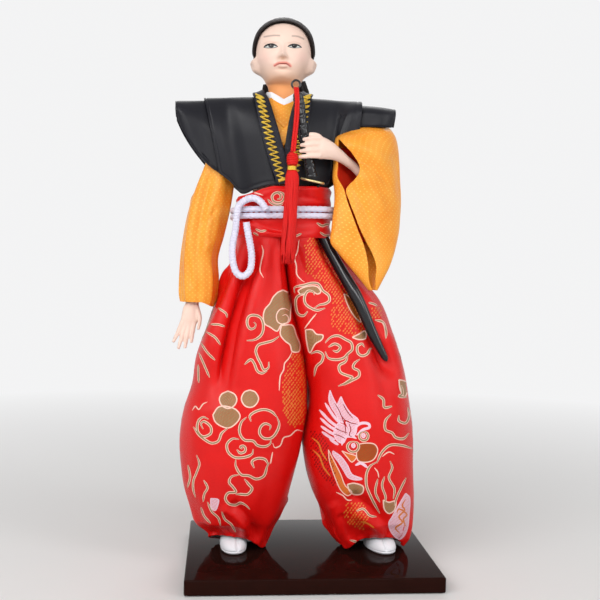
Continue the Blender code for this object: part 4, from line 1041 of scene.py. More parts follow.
@dataclass(frozen=True)
class TrouserLeg:
    """One leg of the wide brocade trousers, padded full and gathered at its hem."""

    name: str
    right: bool
    rows: tuple[tuple[float, ...], ...]
    hem: tuple[tuple[float, float], ...]
    pleat: tuple[tuple[float, float, float], ...]
    creases: tuple[Crease, ...]
    foot: tuple[float, float, float]
    columns: int = 330

    @property
    def centre(self) -> tuple[float, float]:
        """The upright line that the leg's ornament repeats round."""
        return (-35.0, 0.0) if self.right else (26.0, 0.0)

    def surface(self, z: np.ndarray, angle: np.ndarray) -> np.ndarray:
        """Cloth places at heights and angles, before the fine folds."""
        table, hem, pleat = Profile(self.rows), Profile(self.hem), Profile(self.pleat)
        outer, inner = table.read(z, 1), table.read(z, 2)
        half_y, centre_y = table.read(z, 3), table.read(z, 4)
        centre_x, half_x = (outer + inner) / 2, np.abs(outer - inner) / 2
        c, s = np.cos(angle), np.sin(angle)
        to_inner = c * (inner - centre_x) > 0
        x, y = superellipse(angle, 2.15 + np.where(to_inner, 1.5 * ramp(z, 60, 150), 0.0))
        px, py = half_x * x, half_y * y
        length = np.hypot(px, py)
        gather = (1 - ramp(z, 12, 48)) * ramp(z, 8, 14)
        fold = gather * np.cos(9 * angle + (0.6 if self.right else 2.1))
        fold = fold + 0.9 * ramp(z, 120, 160) * (1 - ramp(z, 170, 179)) * np.cos(8 * angle + 0.4)
        fold = fold + 0.35 * (1 - ramp(z, 10, 30)) * np.cos(23 * angle + 1.1)
        fold = fold + 0.3 * np.cos(5 * angle + z * 0.05) * np.cos(z * 0.11 + 2 * c)
        fold = fold * (1 - 0.85 * to_inner * ramp(z, 42, 56) * (1 - ramp(np.abs(s), 0.66, 0.82)))
        width = 4.2 if self.right else 5.4
        away = (centre_x + px - pleat.read(z, 1)) / width
        fold = fold - pleat.read(z, 2) * np.exp(-away * away) * ramp(-s, 0.15, 0.4)
        scale = (length + fold) / length
        lift = (hem.read(np.degrees(angle) % 360, 1) - 9.0) * np.maximum(0.0, 1 - (z - 9.0) / 16.0)
        return placed(centre_x + px * scale, centre_y + py * scale, z + lift)

    def build(self) -> bpy.types.Object:
        """Makes the leg: the brocade outside, a turned hem and the pale lining going up inside it."""
        z = np.concatenate([np.linspace(9.0, 40.0, 62), np.linspace(40.7, 180.6, 150)])[:, None]
        angle = full_turn(self.columns + 1)
        outer = self.surface(z, angle)
        outer = Cloth.creased(outer, self.creases, self.centre, (0.0, 120.0, 240.0))
        outer[:, -1] = outer[:, 0]
        inner = []
        middle = np.array([self.foot[0], self.foot[1] + 2.0, 0.0])
        for up, inwards in ((0.0, 0.9), (1.2, 1.5), (6.0, 2.6), (14.0, 3.2), (24.0, 4.5)):
            ring = outer[0].copy()
            away = ring[:, :2] - middle[:2]
            length = np.linalg.norm(away, axis=1, keepdims=True)
            ring[:, :2] -= away / length * inwards
            ring[:, 2] += up * 0.9 + 0.25
            inner.append(ring)
        turned = outer[0].copy()
        turned[:, 2] -= 0.25
        turned[:, :2] += (inner[0][:, :2] - outer[0][:, :2]) * 0.5
        rings = np.stack([*reversed(inner), turned, *outer])
        low = np.broadcast_to([middle[0], middle[1], rings[0, :, 2].mean() + 6.0], rings[0].shape)
        high = np.broadcast_to([*rings[-1, :, :2].mean(axis=0), 181.4], rings[0].shape)
        made = Bench.grid(self.name + "_brocade", np.concatenate([low[None], rings, high[None]]))
        Bench.deliver(made, [RED_BROCADE, PALE_LINING], [self.name])
        slots = np.zeros(len(made.data.polygons), np.int32)
        slots[:len(inner) * self.columns] = 1
        made.data.polygons.foreach_set("material_index", slots)
        return made


RIGHT_LEG = TrouserLeg(
    "hakama_right_leg", True,
    ((9.0, -54.6, -22.4, 14.0, 0.5), (13.0, -55.2, -21.6, 15.0, 0.5), (19.7, -60.4, -18.9, 17.5, 0.5),
     (25.0, -62.8, -15.8, 20.5, 0.4), (31.0, -64.8, -13.2, 23.0, 0.3), (42.5, -68.7, -9.8, 26.5, 0.0),
     (54.0, -70.4, -6.8, 28.5, 0.0), (68.7, -70.9, -3.8, 29.5, 0.0), (85.0, -68.9, -1.8, 29.5, 0.0),
     (100.0, -64.4, -1.6, 28.5, 0.0), (115.0, -62.3, -4.2, 27.5, 0.0), (132.0, -56.6, -8.9, 25.5, 0.0),
     (145.0, -50.9, -12.0, 23.5, 0.0), (160.0, -46.2, -14.4, 21.0, 0.0), (172.0, -42.8, -15.6, 19.2, 0.0),
     (178.7, -41.0, -16.2, 18.4, 0.0)),
    ((0, 9.6), (60, 9.0), (120, 9.2), (170, 12.5), (200, 15.5), (230, 17.6), (262, 17.4), (285, 16.4),
     (305, 13.0), (325, 9.8), (360, 9.6)),
    ((88.0, -50.0, 0.0), (100.0, -47.5, 2.4), (113.0, -44.6, 4.4), (132.0, -41.2, 4.6), (151.0, -35.6, 3.8),
     (168.0, -31.0, 2.6), (178.7, -28.2, 1.0)),
    (Crease(((260.7, 239.8), (245.5, 278.8), (235.7, 306.0), (229.2, 333.0), (222.7, 360.0), (219.0, 380.0),
             (216.0, 404.0)), -6.4, 5.6),
     Crease(((246.0, 262.0), (232.0, 290.0), (218.0, 318.0), (208.0, 348.0), (204.0, 372.0)), 1.8, 7.0),
     Crease(((264.0, 258.0), (254.0, 298.0), (245.0, 330.0), (238.0, 360.0), (233.0, 392.0)), 2.2, 7.0),
     Crease(((218.4, 506.0), (235.7, 516.0), (244.4, 528.0), (252.0, 544.0)), 1.6, 4.5),
     Crease(((229.0, 502.0), (246.0, 516.0), (254.0, 530.0), (258.0, 544.0)), -2.2, 4.5),
     Crease(((284.0, 250.0), (282.0, 290.0), (286.0, 330.0)), -0.7, 6.0),
     Crease(((262.0, 440.0), (268.0, 480.0), (266.0, 520.0)), -0.8, 9.0),
     Crease(((200.0, 400.0), (196.0, 440.0), (204.0, 480.0)), 0.7, 9.0)),
    (-40.9, -3.4, 3.0))
LEFT_LEG = TrouserLeg(
    "hakama_left_leg", False,
    ((9.0, 54.6, 16.6, 14.5, -1.5), (13.0, 56.8, 14.4, 15.5, -1.5), (19.7, 58.4, 11.4, 18.0, -1.0),
     (25.0, 58.8, 9.2, 20.5, -0.6), (31.0, 59.0, 6.6, 23.0, -0.3), (42.5, 59.2, 1.6, 26.5, 0.0),
     (54.0, 59.2, -1.6, 28.5, 0.0), (68.7, 58.4, -3.3, 29.5, 0.0), (85.0, 56.5, -1.4, 29.5, 0.0),
     (100.0, 54.2, -1.2, 28.5, 0.0), (115.0, 50.4, -3.8, 27.5, 0.0), (132.0, 44.4, -8.5, 25.5, 0.0),
     (145.0, 38.0, -11.6, 23.5, 0.0), (160.0, 25.6, -14.0, 21.0, 0.0), (172.0, 15.4, -15.2, 19.2, 0.0),
     (178.7, 9.2, -15.8, 18.4, 0.0)),
    ((0, 9.6), (60, 9.0), (120, 9.0), (170, 11.0), (200, 11.5), (222, 10.0), (246, 15.6), (266, 17.2),
     (292, 17.4), (316, 14.8), (340, 9.8), (360, 9.6)),
    ((96.0, 44.5, 0.0), (104.0, 42.8, 1.6), (113.7, 39.6, 6.0), (128.0, 31.9, 6.4), (146.6, 23.6, 7.4),
     (164.6, 13.4, 8.6), (172.0, 10.2, 10.4), (178.7, 7.8, 11.0)),
    (Crease(((347.0, 494.0), (362.0, 503.0), (377.0, 516.0), (384.0, 530.0)), -2.4, 6.0),
     Crease(((350.0, 512.0), (366.0, 518.0), (382.0, 532.0), (392.0, 545.0)), 1.8, 6.0),
     Crease(((332.0, 500.0), (337.0, 520.0), (344.0, 544.0)), 1.4, 6.0),
     Crease(((340.0, 512.0), (347.0, 528.0), (350.0, 544.0)), -1.2, 4.0),
     Crease(((384.0, 330.0), (394.0, 360.0), (401.0, 395.0)), 1.2, 7.0),
     Crease(((372.0, 350.0), (384.0, 385.0), (392.0, 420.0)), -1.2, 6.0),
     Crease(((306.0, 262.0), (318.0, 300.0), (322.0, 340.0)), -0.7, 8.0),
     Crease(((330.0, 430.0), (322.0, 470.0), (330.0, 505.0)), -0.8, 8.0)),
    (40.0, -6.0, 16.0))


@dataclass(frozen=True)
class Head:
    """The moulded head: face, ears and neck in one, with painted features and combed hair."""

    neck: float = 7.7
    dome_z: float = 281.0
    dome_reach: float = 15.5
    hair: float = 1.8
    rows: Rows = ((251.2, neck, neck - 0.4, neck), (257.0, neck, neck - 0.4, neck),
                  (262.0, neck + 0.7, neck + 0.5, neck + 0.9), (263.6, 9.4, 11.0, 9.4),
                  (265.0, 10.1, 13.0, 10.4), (267.4, 11.6, 14.4, 12.2), (270.0, 12.9, 15.0, 13.8),
                  (272.6, 13.9, 15.4, 15.0), (275.2, 14.7, 15.6, 15.8), (278.0, 15.0, 15.4, 16.4),
                  (281.0, 15.1, 15.2, 16.7), (284.0, 14.9, 15.2, 16.5), (287.0, 14.3, 14.6, 15.9),
                  (290.0, 13.1, 13.2, 14.6), (292.8, 11.1, 11.0, 12.4), (295.0, 8.4, 8.2, 9.4),
                  (296.4, 5.2, 5.0, 5.8))
    hairline: Rows = ((0, 56), (30, 50), (55, 32), (75, 4), (90, -9), (100, -12), (116, -32), (140, -44),
                      (180, -50))
    left_eye: Rows = ((287.6, 46.4), (290.4, 44.6), (293.8, 43.6), (297.4, 44.4), (300.6, 46.6),
                      (301.6, 47.8), (298.0, 48.0), (293.6, 48.2), (290.2, 47.4))
    right_eye: Rows = ((263.8, 47.6), (265.8, 45.4), (269.0, 43.6), (272.8, 43.4), (276.2, 45.2),
                       (278.0, 46.6), (275.6, 47.6), (271.6, 48.2), (267.4, 48.2))

    @property
    def table(self) -> Profile:
        """The head's half width, front and back at each height."""
        return Profile(self.rows)

    @staticmethod
    def turned(x: np.ndarray, y: np.ndarray, z: np.ndarray) -> np.ndarray:
        """Turns head places a little to the figure's right and sets them on the body."""
        c, s = math.cos(HEAD_TURN), math.sin(HEAD_TURN)
        return placed(HEAD_X + x * c - y * s, x * s + y * c, z)

    @staticmethod
    def bump(x: np.ndarray, z: np.ndarray, at: tuple[float, float], size: tuple[float, float]) -> np.ndarray:
        """Round bump used to shape the face."""
        return bell(x, at[0], size[0]) * bell(z, at[1], size[1])

    def face(self, x: np.ndarray, z: np.ndarray) -> np.ndarray:
        """How far the face stands out of its smooth oval."""
        bump = self.bump
        out = 2.5 * bump(x, z, (0, 276.4), (1.7, 1.5)) + 1.2 * bump(x, z, (0, 279.6), (1.3, 3.2))
        out = out + 0.8 * bump(x, z, (0, 271.6), (4.0, 1.5)) + 0.9 * bump(x, z, (0, 265.8), (3.6, 1.9))
        out = out - 0.4 * bump(x, z, (0, 273.4), (0.7, 0.8)) - 0.5 * bump(x, z, (0, 268.8), (4.5, 0.8))
        out = out + 0.45 * bump(x, z, (0, 270.2), (2.6, 0.7)) + 0.4 * bump(x, z, (0, 272.4), (3.2, 0.5))
        for side in (-1, 1):
            out = out - 0.95 * bump(x, z, (side * 6.4, 281.2), (3.4, 1.9))
            out = out + 0.55 * bump(x, z, (side * 6.4, 281.0), (2.4, 1.0))
            out = out + 0.30 * bump(x, z, (side * 6.6, 283.4), (3.6, 0.6))
            out = out + 0.5 * bump(x, z, (side * 8.6, 274.2), (3.6, 3.6))
            out = out + 0.75 * bump(x, z, (side * 1.8, 275.6), (0.8, 0.9))
            out = out - 0.5 * bump(x, z, (side * 1.0, 274.8), (0.5, 0.4))
            out = out - 0.3 * bump(x, z, (side * 3.6, 273.2), (1.0, 2.0))
        return out - 0.45 * bump(x, z, (0, 271.35), (3.8, 0.28))

    def skin_places(self, z: np.ndarray, angle: np.ndarray) -> np.ndarray:
        """Skin places, 270 degrees being the face."""
        half_x, front, back = self.table.read(z, 1), self.table.read(z, 2), self.table.read(z, 3)
        c, s = np.cos(angle), np.sin(angle)
        x = half_x * c
        y = np.where(s < 0, front, back) * s - np.where(s < 0, self.face(x, z) * ramp(-s, 0.3, 0.7), 0.0)
        beside = np.exp(-(((np.abs(c) - 1.0) / 0.045) ** 2)) * (np.abs(s) < 0.5)
        ear = beside * np.exp(-(np.abs((z - 272.8) / 4.2) ** 4))
        hollow = np.exp(-(((s + 0.12) / 0.10) ** 2) - ((z - 273.0) / 1.9) ** 2) * beside
        x = x + np.copysign(3.9 * ear - 0.9 * hollow, c)
        return self.turned(x, y + HEAD_Y + 0.8 * ear, z)

    @staticmethod
    def line_mask(pixels: np.ndarray, line: Stroke, width: float, soft: float = 0.5) -> np.ndarray:
        """How strongly a brush line covers each pixel."""
        count = max(4, int(length_of(np.asarray(line)) / 2))
        best, _ = nearest(pixels, along(line, count))
        return 1 - ramp(best, width / 2 - soft, width / 2 + soft)

    def paint_and_shade(self, points: np.ndarray) -> np.ndarray:
        """Brushed colour of each skin place, painted shade and reflection included, and how much of it covers
        the skin.
        """
        pixels = VIEW.pixels(points)
        front = ramp(HEAD_Y - 2.0 - points[..., 1], 0.0, 3.0)
        u, v = pixels[..., 0], pixels[..., 1]
        layers: list[tuple[Colour, np.ndarray]] = []
        # Painted reflection and shade: orange from the yellow clothes below, with shade, on the neck and
        # under the chin.
        below = 1 - ramp(points[..., 2], 261.0, 267.5)
        layers.append(((0.86, 0.32, 0.075), 0.9 * below))
        # Painted shade: the lower face browner towards the jaw and chin.
        jaw_shade = (1 - ramp(points[..., 2], 264.0, 274.0)) * 0.5
        layers.append(((0.72, 0.42, 0.26), jaw_shade * (1 - 0.8 * below)))
        cheeks = bell(u, 264.5, 7.5) * bell(v, 57.0, 7.0) + bell(u, 302.0, 7.5) * bell(v, 57.0, 7.0)
        layers.append(((0.90, 0.50, 0.44), 0.28 * cheeks * front))
        # Painted shade under the nose.
        nose_shade = bell(u, 283.0, 5.0) * bell(v, 58.2, 2.6)
        layers.append(((0.46, 0.25, 0.14), 0.7 * nose_shade * front))
        shade = bell(u, 304.0, 4.5) * bell(v, 72.0, 9.0) + 0.7 * bell(u, 261.0, 4.0) * bell(v, 73.0, 9.0)
        layers.append(((0.60, 0.38, 0.28), 0.45 * shade * front))
        for line, width in ((((264.2, 36.8), (269.0, 36.0), (275.0, 35.4), (279.4, 35.6)), 1.3),
                            (((292.4, 36.0), (297.0, 36.2), (301.0, 37.6), (303.6, 39.0)), 1.3)):
            layers.append(((0.14, 0.09, 0.08), 0.62 * self.line_mask(pixels, line, width, 0.8) * front))
        upper = ((274.6, 65.4), (277.4, 63.6), (280.4, 62.6), (282.6, 63.2), (285.0, 62.6), (288.0, 63.6),
                 (290.6, 66.0))
        layers.append(((0.76, 0.17, 0.13), 0.75 * self.line_mask(pixels, upper, 2.6, 1.0) * front))
        parting = ((274.6, 65.9), (277.6, 64.4), (280.4, 63.5), (282.8, 63.6), (285.4, 63.3), (287.8, 64.6),
                   (290.0, 66.3))
        layers.append(((0.24, 0.03, 0.02), 0.9 * self.line_mask(pixels, parting, 1.1, 0.6) * front))
        lower = ((279.0, 67.2), (282.8, 68.0), (286.6, 67.2))
        layers.append(((0.45, 0.18, 0.12), 0.45 * self.line_mask(pixels, lower, 1.6, 1.0) * front))
        # Painted shade in the eye sockets: soft brown lines over the eyes.
        for line in (((264.6, 43.4), (269.4, 41.4), (275.4, 42.6)),
                     ((288.6, 42.8), (294.0, 41.6), (300.4, 43.6))):
            layers.append(((0.62, 0.36, 0.28), 0.35 * self.line_mask(pixels, line, 1.0, 1.0) * front))
        colour = np.zeros((*points.shape[:2], 3))
        cover = np.zeros(points.shape[:2])
        for tint, mask in layers:
            mask = np.clip(mask, 0.0, 1.0)
            total = mask + cover * (1 - mask)
            safe = np.maximum(total, 1e-6)[..., None]
            colour = (np.array(tint) * mask[..., None] + colour * (cover * (1 - mask))[..., None]) / safe
            cover = total
        return np.concatenate([colour, cover[..., None]], axis=-1)

    def build_skin(self) -> bpy.types.Object:
        """Makes the face, ears and neck."""
        z = np.concatenate([np.linspace(251.2, 260.0, 14), np.linspace(260.5, 296.6, 170)])[:, None]
        t = np.linspace(-1, 1, 221)
        angle = (-math.pi / 2 + math.pi * (0.55 * t + 0.45 * t**3))[None, :]
        points = self.skin_places(z, angle)
        points[:, -1] = points[:, 0]
        low = np.broadcast_to(points[0].mean(axis=0), points[0].shape)
        high = np.broadcast_to([*points[-1, :, :2].mean(axis=0), 296.8], points[0].shape)
        points = np.concatenate([low[None], points, high[None]])
        made = Bench.grid("painted_head", points)
        self.brush(made)
        return Bench.deliver(made, [SKIN], ["head"])

    def brush(self, made: bpy.types.Object) -> None:
        """Stores the painted colour, painted shade and reflection included, on the mesh."""
        mesh = made.data
        places = np.empty(len(mesh.vertices) * 3, np.float32)
        mesh.vertices.foreach_get("co", places)
        colours = self.paint_and_shade(places.reshape(1, -1, 3).astype(float) / MM)[0]
        layer = mesh.color_attributes.new(name="paint_and_shade", type="FLOAT_COLOR", domain="POINT")
        layer.data.foreach_set("color", colours.astype(np.float32).reshape(-1))

    def build_eyes(self, skin: bpy.types.Object) -> None:
        """Lays the painted eyes on the face, each with a painted highlight."""
        eyes = Embroidery([skin], lift=0.05)
        white, black, iris = 0, 1, 2
        for drawn, middle in ((self.right_eye, (271.2, 46.2)), (self.left_eye, (294.4, 46.2))):
            outline = [(x, 47.3 + 0.78 * (y - 47.3)) for x, y in drawn]
            eyes.patch(white, outline, 0.0, 4)
            ball = [(middle[0] + 2.9 * math.cos(a), middle[1] - 0.2 + 1.7 * math.sin(a))
                    for a in np.linspace(0, 2 * math.pi, 14, endpoint=False)]
            eyes.patch(iris, ball, 0.03, 3)
            pupil = [(middle[0] + 1.3 * math.cos(a), middle[1] - 0.2 + 1.2 * math.sin(a))
                     for a in np.linspace(0, 2 * math.pi, 10, endpoint=False)]
            eyes.patch(black, pupil, 0.05, 2)
            eyes.stroke(black, outline[:6], 1.7, 0.08)
            eyes.stroke(black, [outline[0], *outline[:4:-1]], 0.55, 0.07)
            # Painted highlight: a short white stroke on each iris.
            eyes.stroke(white, [(middle[0] - 0.9, middle[1] - 1.0), (middle[0] - 0.5, middle[1] - 1.1),
                                (middle[0] - 0.1, middle[1] - 1.0)], 0.55, 0.09)
        eyes.build("painted_eyes", [EYE_WHITE, EYE_BLACK, HAIR])

    def build_hair(self) -> None:
        """Makes the combed cap and the long tail behind."""
        line = Profile(self.hairline)
        angle = full_turn(289)
        share = np.linspace(0, 1, 56)[:, None]
        front = np.abs((np.degrees(angle) - 90) % 360 - 180)
        low = np.radians(line.read(front, 1))
        lift = low + (math.radians(88) - low) * share
        z = self.dome_z + self.dome_reach * np.sin(lift)
        edge = 0.55 + 0.45 * ramp(share, 0.0, 0.06)
        side = self.hair * np.maximum(np.cos(lift), 0.5) * edge + 0.3
        combed = 0.10 * np.sin(72 * angle + 6 * share) + 0.07 * np.sin(131 * angle - 9 * share)
        behind = ramp(np.sin(angle), -0.1, 0.4)
        half_x = self.table.read(z, 1) + side + combed
        reach = np.where(np.sin(angle) > 0, self.table.read(z, 3), self.table.read(z, 2))
        reach = reach + side + 0.6 * behind + combed
        points = self.turned(half_x * np.cos(angle), HEAD_Y + reach * np.sin(angle),
                             z + self.hair * np.maximum(np.sin(lift), 0.0))
        points[:, -1] = points[:, 0]
        top = np.broadcast_to(points[-1].mean(axis=0), points[0].shape)
        cap = Bench.grid("combed_hair", np.concatenate([points, top[None]]), outward=(HEAD_X, HEAD_Y, 280.0))
        Bench.wall(cap, 1.2)
        Bench.deliver(cap, [HAIR], ["hair_cap"])
        path = along([(-15.6, 16.6, 267.4), (-15.0, 18.4, 262.6), (-13.6, 22.4, 256.0), (-14.0, 23.6, 244.0),
                      (-15.2, 22.6, 228.0), (-16.0, 21.6, 213.0)], 120)
        share = np.linspace(0, 1, 120)
        down = share[:, None]
        knots = np.linspace(0, 1, 9)
        wide = np.interp(share, knots, [12.0, 13.2, 13.2, 11.8, 10.0, 8.2, 6.2, 4.0, 1.6])
        deep = np.interp(share, knots, [2.2, 3.1, 3.1, 2.8, 2.8, 2.7, 2.4, 1.9, 1.0])
        around = full_turn(121)
        locks = 0.22 * np.sin(19 * around + 5 * down) + 0.12 * np.sin(47 * around - 7 * down)
        tail = Bench.tube("hair_fall", path, wide, deep, 120, relief=locks * ramp(down, 0, 0.05))
        Bench.deliver(tail, [HAIR], ["hair_tail"])

    def build(self) -> None:
        """Makes the whole head."""
        skin = self.build_skin()
        self.build_eyes(skin)
        self.build_hair()


@dataclass(frozen=True)
class Kimono:
    """The yellow bodice with its collar bands and the white collar under it."""

    rows: Rows = ((207.6, -0.4, 0.4, 19.0, 13.6), (224.0, -1.0, 0.4, 21.4, 14.2),
                  (240.0, -1.3, 0.5, 23.0, 13.8), (247.0, -1.3, 0.9, 21.0, 12.8),
                  (251.5, -1.3, 1.3, 16.0, 11.9), (254.6, -1.3, 1.6, 11.3, 10.9))
    low: float = 207.6
    high: float = 254.6
    wall: float = 0.7

    def place(self, z: np.ndarray, angle: np.ndarray, lift: float = 0.0) -> np.ndarray:
        """Places on the bodice, lifted off it by some millimetres."""
        table = Profile(self.rows)
        x, y = superellipse(angle, 2.2)
        across = BODY_X + table.read(z, 1) + (table.read(z, 3) + lift) * x
        return placed(across, table.read(z, 2) + (table.read(z, 4) + lift) * y, z)

    @staticmethod
    def opening(angle: np.ndarray, reach: float) -> np.ndarray:
        """The V of the neckline: 1 at the middle of the front, 0 beyond its reach in radians."""
        return np.maximum(0.0, 1 - np.abs(angle - math.radians(270)) / reach) ** 1.2

    def band(self, name: str, side: int) -> bpy.types.Object:
        """One folded collar band from the nape down to where the fronts cross."""
        t = np.linspace(0, 1, 90)
        angle = math.radians(270) + side * np.interp(t, [0, 0.28, 0.55, 0.8, 1], [2.0, 1.5, 1.0, 0.35, -0.25])
        z = np.interp(t, [0, 0.28, 0.55, 0.8, 1], [254.2, 254.0, 252.4, 243.0, 226.0])
        share = np.linspace(-1, 1, 13)
        width = np.interp(t, [0, 0.4, 1], [1.4, 2.0, 3.4])
        around = angle[:, None] + side * share[None, :] * width[:, None] / 17.0
        crown = 1.0 + 0.5 * (1 - share[None, :] ** 4) + (0.45 if side > 0 else 0.0)
        points = self.place(z[:, None] + share[None, :] * 0.4, around, crown)
        made = Bench.grid(name, points, outward=(BODY_X, 0.0, 235.0))
        return Bench.wall(made, 0.6)

    def build(self) -> None:
        """Makes the bodice and the collars."""
        angle = full_turn(181)
        top = self.high - 4.2 * self.opening(angle, 0.62)
        z = self.low + (top - self.low) * np.linspace(0, 1, 90)[:, None]
        wrinkle = 0.30 * np.cos(5 * angle + z * 0.16) * np.cos(z * 0.19 + 3 * angle)
        wrinkle = wrinkle * ramp(z, 208, 214) * (1 - ramp(z, 246, 253))
        points = self.place(z, angle, wrinkle - 0.3)
        points[:, -1] = points[:, 0]
        body = Bench.grid("bodice_cloth", points, outward=(BODY_X, 0.0, 232.0))
        Bench.wall(body, self.wall)
        bands = [self.band("collar_band_right", -1), self.band("collar_band_left", 1)]
        for made in [body, *bands]:
            made.data.materials.clear()
        whole = Bench.merged("yellow_bodice", [body, *bands])
        Bench.deliver(whole, [YELLOW_SATIN], ["kimono_bodice"])
        Cloth.declare(whole, points, "stretched", ["torso_core"])
        self.build_collar()

    def build_collar(self) -> None:
        """Makes the white collar round the neck, its fronts meeting in a V."""
        angle = full_turn(181)
        up = np.linspace(0, 1, 20)[:, None]
        front = ramp(-np.sin(angle), 0.0, 1.0)
        dip = self.opening(angle, 0.8)
        z = 253.4 - 4.0 * dip + (5.4 - 0.8 * front) * up
        radius = 9.0 + 2.4 * front * (1 - up) + 0.5 * np.sin(math.pi * up) + 0.7 * dip
        points = placed(HEAD_X + radius * np.cos(angle), HEAD_Y + radius * np.sin(angle), z).copy()
        points[:, -1] = points[:, 0]
        made = Bench.grid("white_under_collar", points, outward=(HEAD_X, HEAD_Y, 254.0))
        Bench.wall(made, 0.7)
        Bench.deliver(made, [WHITE_COTTON], ["under_collar"])


@dataclass(frozen=True)
class VestPiece:
    """One stiff piece of the over-vest: from its front hem over the shoulder to its back hem."""

    name: str
    rows: tuple[tuple[float, ...], ...]
    wave: float
    thick: float = 1.0

    def place(self, u: np.ndarray, v: np.ndarray) -> np.ndarray:
        """Place of the middle of the cloth, u running outwards and v from front to back."""
        table = Profile(self.rows)
        front = v < 0
        end_x = np.where(front, table.read(u, 3), table.read(u, 6))
        end_z = np.where(front, table.read(u, 4), table.read(u, 7))
        end_y = np.where(front, table.read(u, 5), 0.6 - table.read(u, 5))
        t = np.abs(v)
        bulge = np.sin(np.pi * np.minimum(t, 1.0)) * 2.0 * ramp(u, 0.2, 0.8)
        turn = np.sqrt(np.maximum(0.0, 1 - (1 - np.minimum(t / 0.54, 1.0)) ** 2))
        y = end_y * turn * (0.86 + 0.14 * t) + np.where(front, -1, 1) * bulge * 0.5
        x = table.read(u, 1) + (end_x - table.read(u, 1)) * t**1.15
        z = table.read(u, 2) + (end_z - table.read(u, 2)) * t**1.25
        sway = self.wave * ramp(t, 0.3, 0.6) * (1 - ramp(t, 0.9, 1.0)) * np.sin(2.2 * np.pi * u + 3.0 * t)
        return placed(x, y + np.where(front, -1, 1) * sway, z)

    def build(self) -> None:
        """Makes the piece with its turned edges and its line of stitches."""
        u = np.linspace(0, 1, 61)[None, :]
        v = np.linspace(-1, 1, 201)[:, None]
        points = self.place(u, v)
        rim = np.minimum(np.minimum(u, 1 - u) * 30.0, (1 - np.abs(v)) * 46.0)
        normal = Cloth.normals(points, np.array((BODY_X, 0.0, 225.0)))
        stitched = 0.26 * np.exp(-(((rim - 1.5) / 0.22) ** 2))
        points = points + normal * (0.25 - stitched)[..., None]
        made = Bench.grid(self.name + "_cloth", points, outward=(BODY_X, 0.0, 225.0))
        Bench.wall(made, self.thick)
        Bench.soften(made, 0.22)
        Bench.deliver(made, [BLACK_SATIN], [self.name])
        Cloth.declare(made, points, "draped", ["torso_core"])


VEST_PIECES = (
    VestPiece("right_vest_panel", (
        (0.0, -30.4, 255.4, -19.6, 207.2, -16.6, -19.0, 207.4),
        (0.2, -36.5, 255.3, -25.4, 206.8, -16.4, -25.0, 207.2),
        (0.42, -43.5, 255.0, -32.6, 204.6, -14.4, -32.0, 206.6),
        (0.6, -49.5, 254.7, -39.2, 202.4, -10.8, -39.0, 204.6),
        (0.8, -55.0, 254.4, -45.4, 208.6, -11.0, -46.0, 210.0),
        (1.0, -60.2, 254.2, -51.6, 213.2, -11.4, -52.0, 214.0),
    ), 0.15),
    VestPiece("right_vest_wing", (
        (0.0, -57.0, 252.9, -49.8, 212.6, -9.6, -50.0, 213.0),
        (0.3, -62.6, 252.7, -56.6, 216.8, -10.4, -57.0, 217.0),
        (0.6, -68.4, 252.4, -64.4, 224.8, -10.6, -65.0, 226.0),
        (0.82, -72.4, 252.2, -70.6, 234.6, -9.6, -71.0, 235.0),
        (1.0, -75.5, 252.0, -74.8, 243.2, -7.4, -75.0, 243.0),
    ), 0.35),
    VestPiece("left_vest_panel", (
        (0.0, -4.2, 255.6, -14.6, 207.2, -16.3, -15.0, 207.4),
        (0.2, 1.6, 255.5, -8.0, 207.2, -16.0, -9.0, 207.4),
        (0.42, 7.4, 255.3, 0.6, 207.4, -14.6, 0.0, 207.4),
        (0.6, 12.0, 255.0, 7.2, 208.2, -12.8, 6.4, 206.4),
        (0.74, 16.0, 254.8, 8.6, 220.0, -13.4, 12.0, 209.6),
        (0.86, 20.0, 254.6, 11.4, 231.0, -14.4, 15.6, 212.4),
        (0.93, 22.6, 254.5, 16.2, 235.0, -15.4, 18.0, 214.4),
        (1.0, 25.2, 254.4, 23.2, 238.0, -15.8, 20.0, 216.4),
    ), 0.1),
    VestPiece("left_vest_wing", (
        (0.0, 22.8, 252.4, 17.0, 239.4, -12.4, 18.0, 215.6),
        (0.3, 28.4, 252.2, 25.0, 239.6, -14.4, 25.0, 221.0),
        (0.6, 34.6, 251.8, 33.0, 239.7, -14.2, 33.0, 228.0),
        (0.82, 39.6, 251.4, 38.8, 239.8, -12.4, 39.0, 236.0),
        (1.0, 44.2, 251.0, 42.6, 240.2, -9.6, 43.0, 243.0),
    ), 0.2),
)


